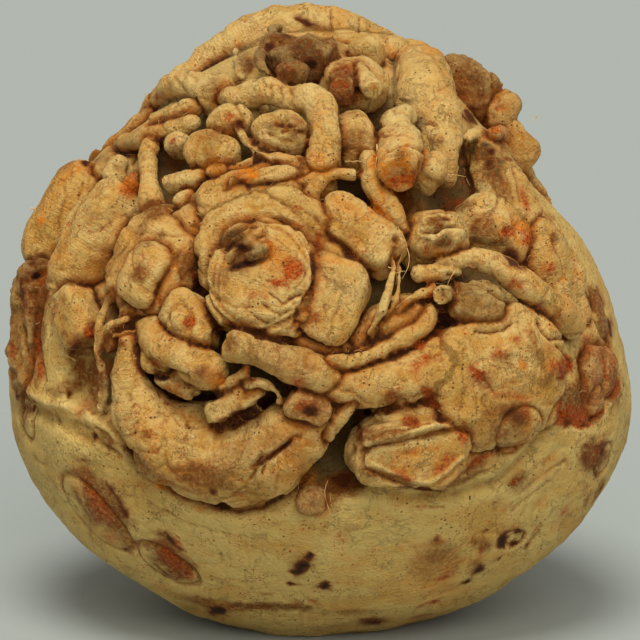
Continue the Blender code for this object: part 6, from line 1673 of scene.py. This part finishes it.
# %% The rootlets
ROOTLETS = (  # radius, then (across, up, lift) points
    (0.18, ((28.4, 17.1, 7.5), (28.9, 16.0, 9.5), (28.2, 14.9, 10.5), (27.7, 13.9, 8.5), (27.3, 12.6, 6.5),
     (27.7, 11.4, 5))),
    (0.16, ((12.6, 43.0, 5), (12.6, 40.7, 6.5), (12.3, 38.5, 7), (12.5, 36.4, 6))),
    (0.12, ((7.3, 39.2, 4.5), (8.5, 39.4, 5.5), (10.0, 39.0, 5))),
    (0.1, ((5.8, 39.2, 4), (6.8, 39.4, 5), (8.1, 39.0, 5))),
    (0.14, ((17.8, 24.5, 4), (18.5, 21.9, 4.6), (19.3, 19.4, 4.8), (19.1, 16.9, 4.6), (17.8, 14.3, 4))),
    (0.12, ((17.0, 25.4, 3.5), (17.6, 22.8, 4.2), (17.8, 19.8, 4.2), (16.9, 16.9, 4), (16.5, 13.0, 3.6))),
    (0.1, ((14.8, 16.8, 5.5), (16.5, 16.2, 6), (18.6, 15.8, 5.5))),
    (0.1, ((15.4, 15.3, 5.5), (16.9, 15.6, 6), (18.4, 16.0, 5.5))),
    (0.12, ((28.0, 36.8, 3), (29.7, 36.8, 4), (32.0, 36.5, 3))),
    (0.14, ((49.1, 51.7, 1), (48.6, 50.6, 1.6), (47.7, 50.2, 1))),
    (0.14, ((-48.2, -47.1, 0), (-47.0, -47.8, 1.2), (-47.7, -49.5, 1.6), (-47.0, -50.2, 1))),
    (0.2, ((-63.6, 30.4, 0), (-64.3, 30.7, 1.2), (-64.7, 30.0, 1))),
    (0.12, ((-24.6, -6.6, 6), (-24.0, -6.8, 6.8), (-23.6, -7.2, 6.2))),
    (0.14, ((2.6, -35.5, 1.5), (1.7, -32.6, 2.2), (1.5, -30.4, 2.8), (2.1, -28.5, 2.4))),
    (0.12, ((3.6, -35.9, 1.5), (2.8, -33.3, 2.2), (2.6, -31.1, 2.6))),
    (0.1, ((19.9, 10.9, 5), (18.2, 9.7, 5.4), (16.5, 8.2, 5))),
    (0.1, ((-17.2, 64.6, 2), (-18.0, 63.0, 2.8), (-18.8, 61.4, 2.2))),
    (0.12, ((-38.8, 56.4, 1), (-38.5, 55.1, 2), (-37.6, 54.2, 1.4))),
    (0.12, ((-50.2, 43.7, 0.6), (-49.5, 42.8, 1.6), (-48.6, 42.5, 1.2))),
    (0.1, ((-55.7, -1.5, 2), (-53.8, -2.3, 2.6), (-52.1, -3.2, 2.2))),
)
TIP_THINNING = 0.75


def add_thread(curve, places, radius):
    """Adds a thread that gets thinner to its tip."""
    last = len(places) - 1
    thread = [(place * MM + np.array(BULB_MIDDLE), radius * MM * (1.0 - TIP_THINNING * i / last))
              for i, place in enumerate(places)]
    add_line(curve, thread)


def finish_threads(curve, name, material):
    piece = as_mesh(name, curve)
    piece.data.shade_smooth()
    piece.data.materials.append(material)
    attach(piece, "root")
    print(name, "has", len(piece.data.polygons), "faces")


def thread_material():
    material = bpy.data.materials.new("celeriac_rootlet")
    material.use_nodes = True
    tree = material.node_tree
    place = in_millimetres(tree)
    tone = paint(tree, SKIN_PALE, SKIN_TAN, share_of(tree, cloud(tree, place, 0.6, 3.0), 0.4, 0.65))
    shader = tree.nodes["Principled BSDF"]
    tree.links.new(tone, shader.inputs["Base Color"])
    bump = add_node(tree, "ShaderNodeBump", {"Strength": 0.4, "Distance": 0.1 * MM,
                                             "Height": cloud(tree, place, 4.0, 3.0)})
    tree.links.new(bump.outputs[0], shader.inputs["Normal"])
    shader.inputs["Roughness"].default_value = 0.6
    return material


rootlet_finish = thread_material()
rootlets = round_curve("rootlets", 2)
for radius, stations in ROOTLETS:
    line = smooth_line([(on_face(*place), radius) for place in stations])
    add_thread(rootlets, [point for point, _ in line], radius)
finish_threads(rootlets, "rootlets", rootlet_finish)

# %% [markdown]
# Each hair starts at a point in a crease, leans the way that the draw says and curls a little.

# %% The hairs
HAIR_SEED = 7
HAIR_COUNT = 420
HAIR_LENGTH = (0.9, 3.2)
HAIR_RADIUS = 0.055
HAIR_POINTS = 5
HAIR_LEAN = 0.55  # how much a hair stands up, beside how much it lies
HAIR_CURL = 0.35
HAIRY_CREASE = 0.25  # hairs stand where the crease is stronger than this
HAIR_CLEARANCE = 4.0  # over the resting spot

draw = np.random.default_rng(HAIR_SEED)
hair_places = np.flatnonzero((crease > HAIRY_CREASE) & (points[:, 2] > FOOT_LEVEL + HAIR_CLEARANCE))
hairs = round_curve("hairs", 0)
for number in draw.choice(hair_places, HAIR_COUNT, replace=False):
    out = normals[number]
    side = unit(np.cross(out, draw.normal(size=3)))
    length = draw.uniform(*HAIR_LENGTH)
    way = unit(HAIR_LEAN * out + side)
    curl = unit(np.cross(way, out)) * draw.normal(scale=HAIR_CURL) - out * HAIR_CURL
    shares = np.linspace(0.0, 1.0, HAIR_POINTS)
    path = points[number] + np.outer(shares * length, way) + np.outer(shares ** 2 * length, curl)
    add_thread(hairs, path, HAIR_RADIUS)
finish_threads(hairs, "hairs", rootlet_finish)
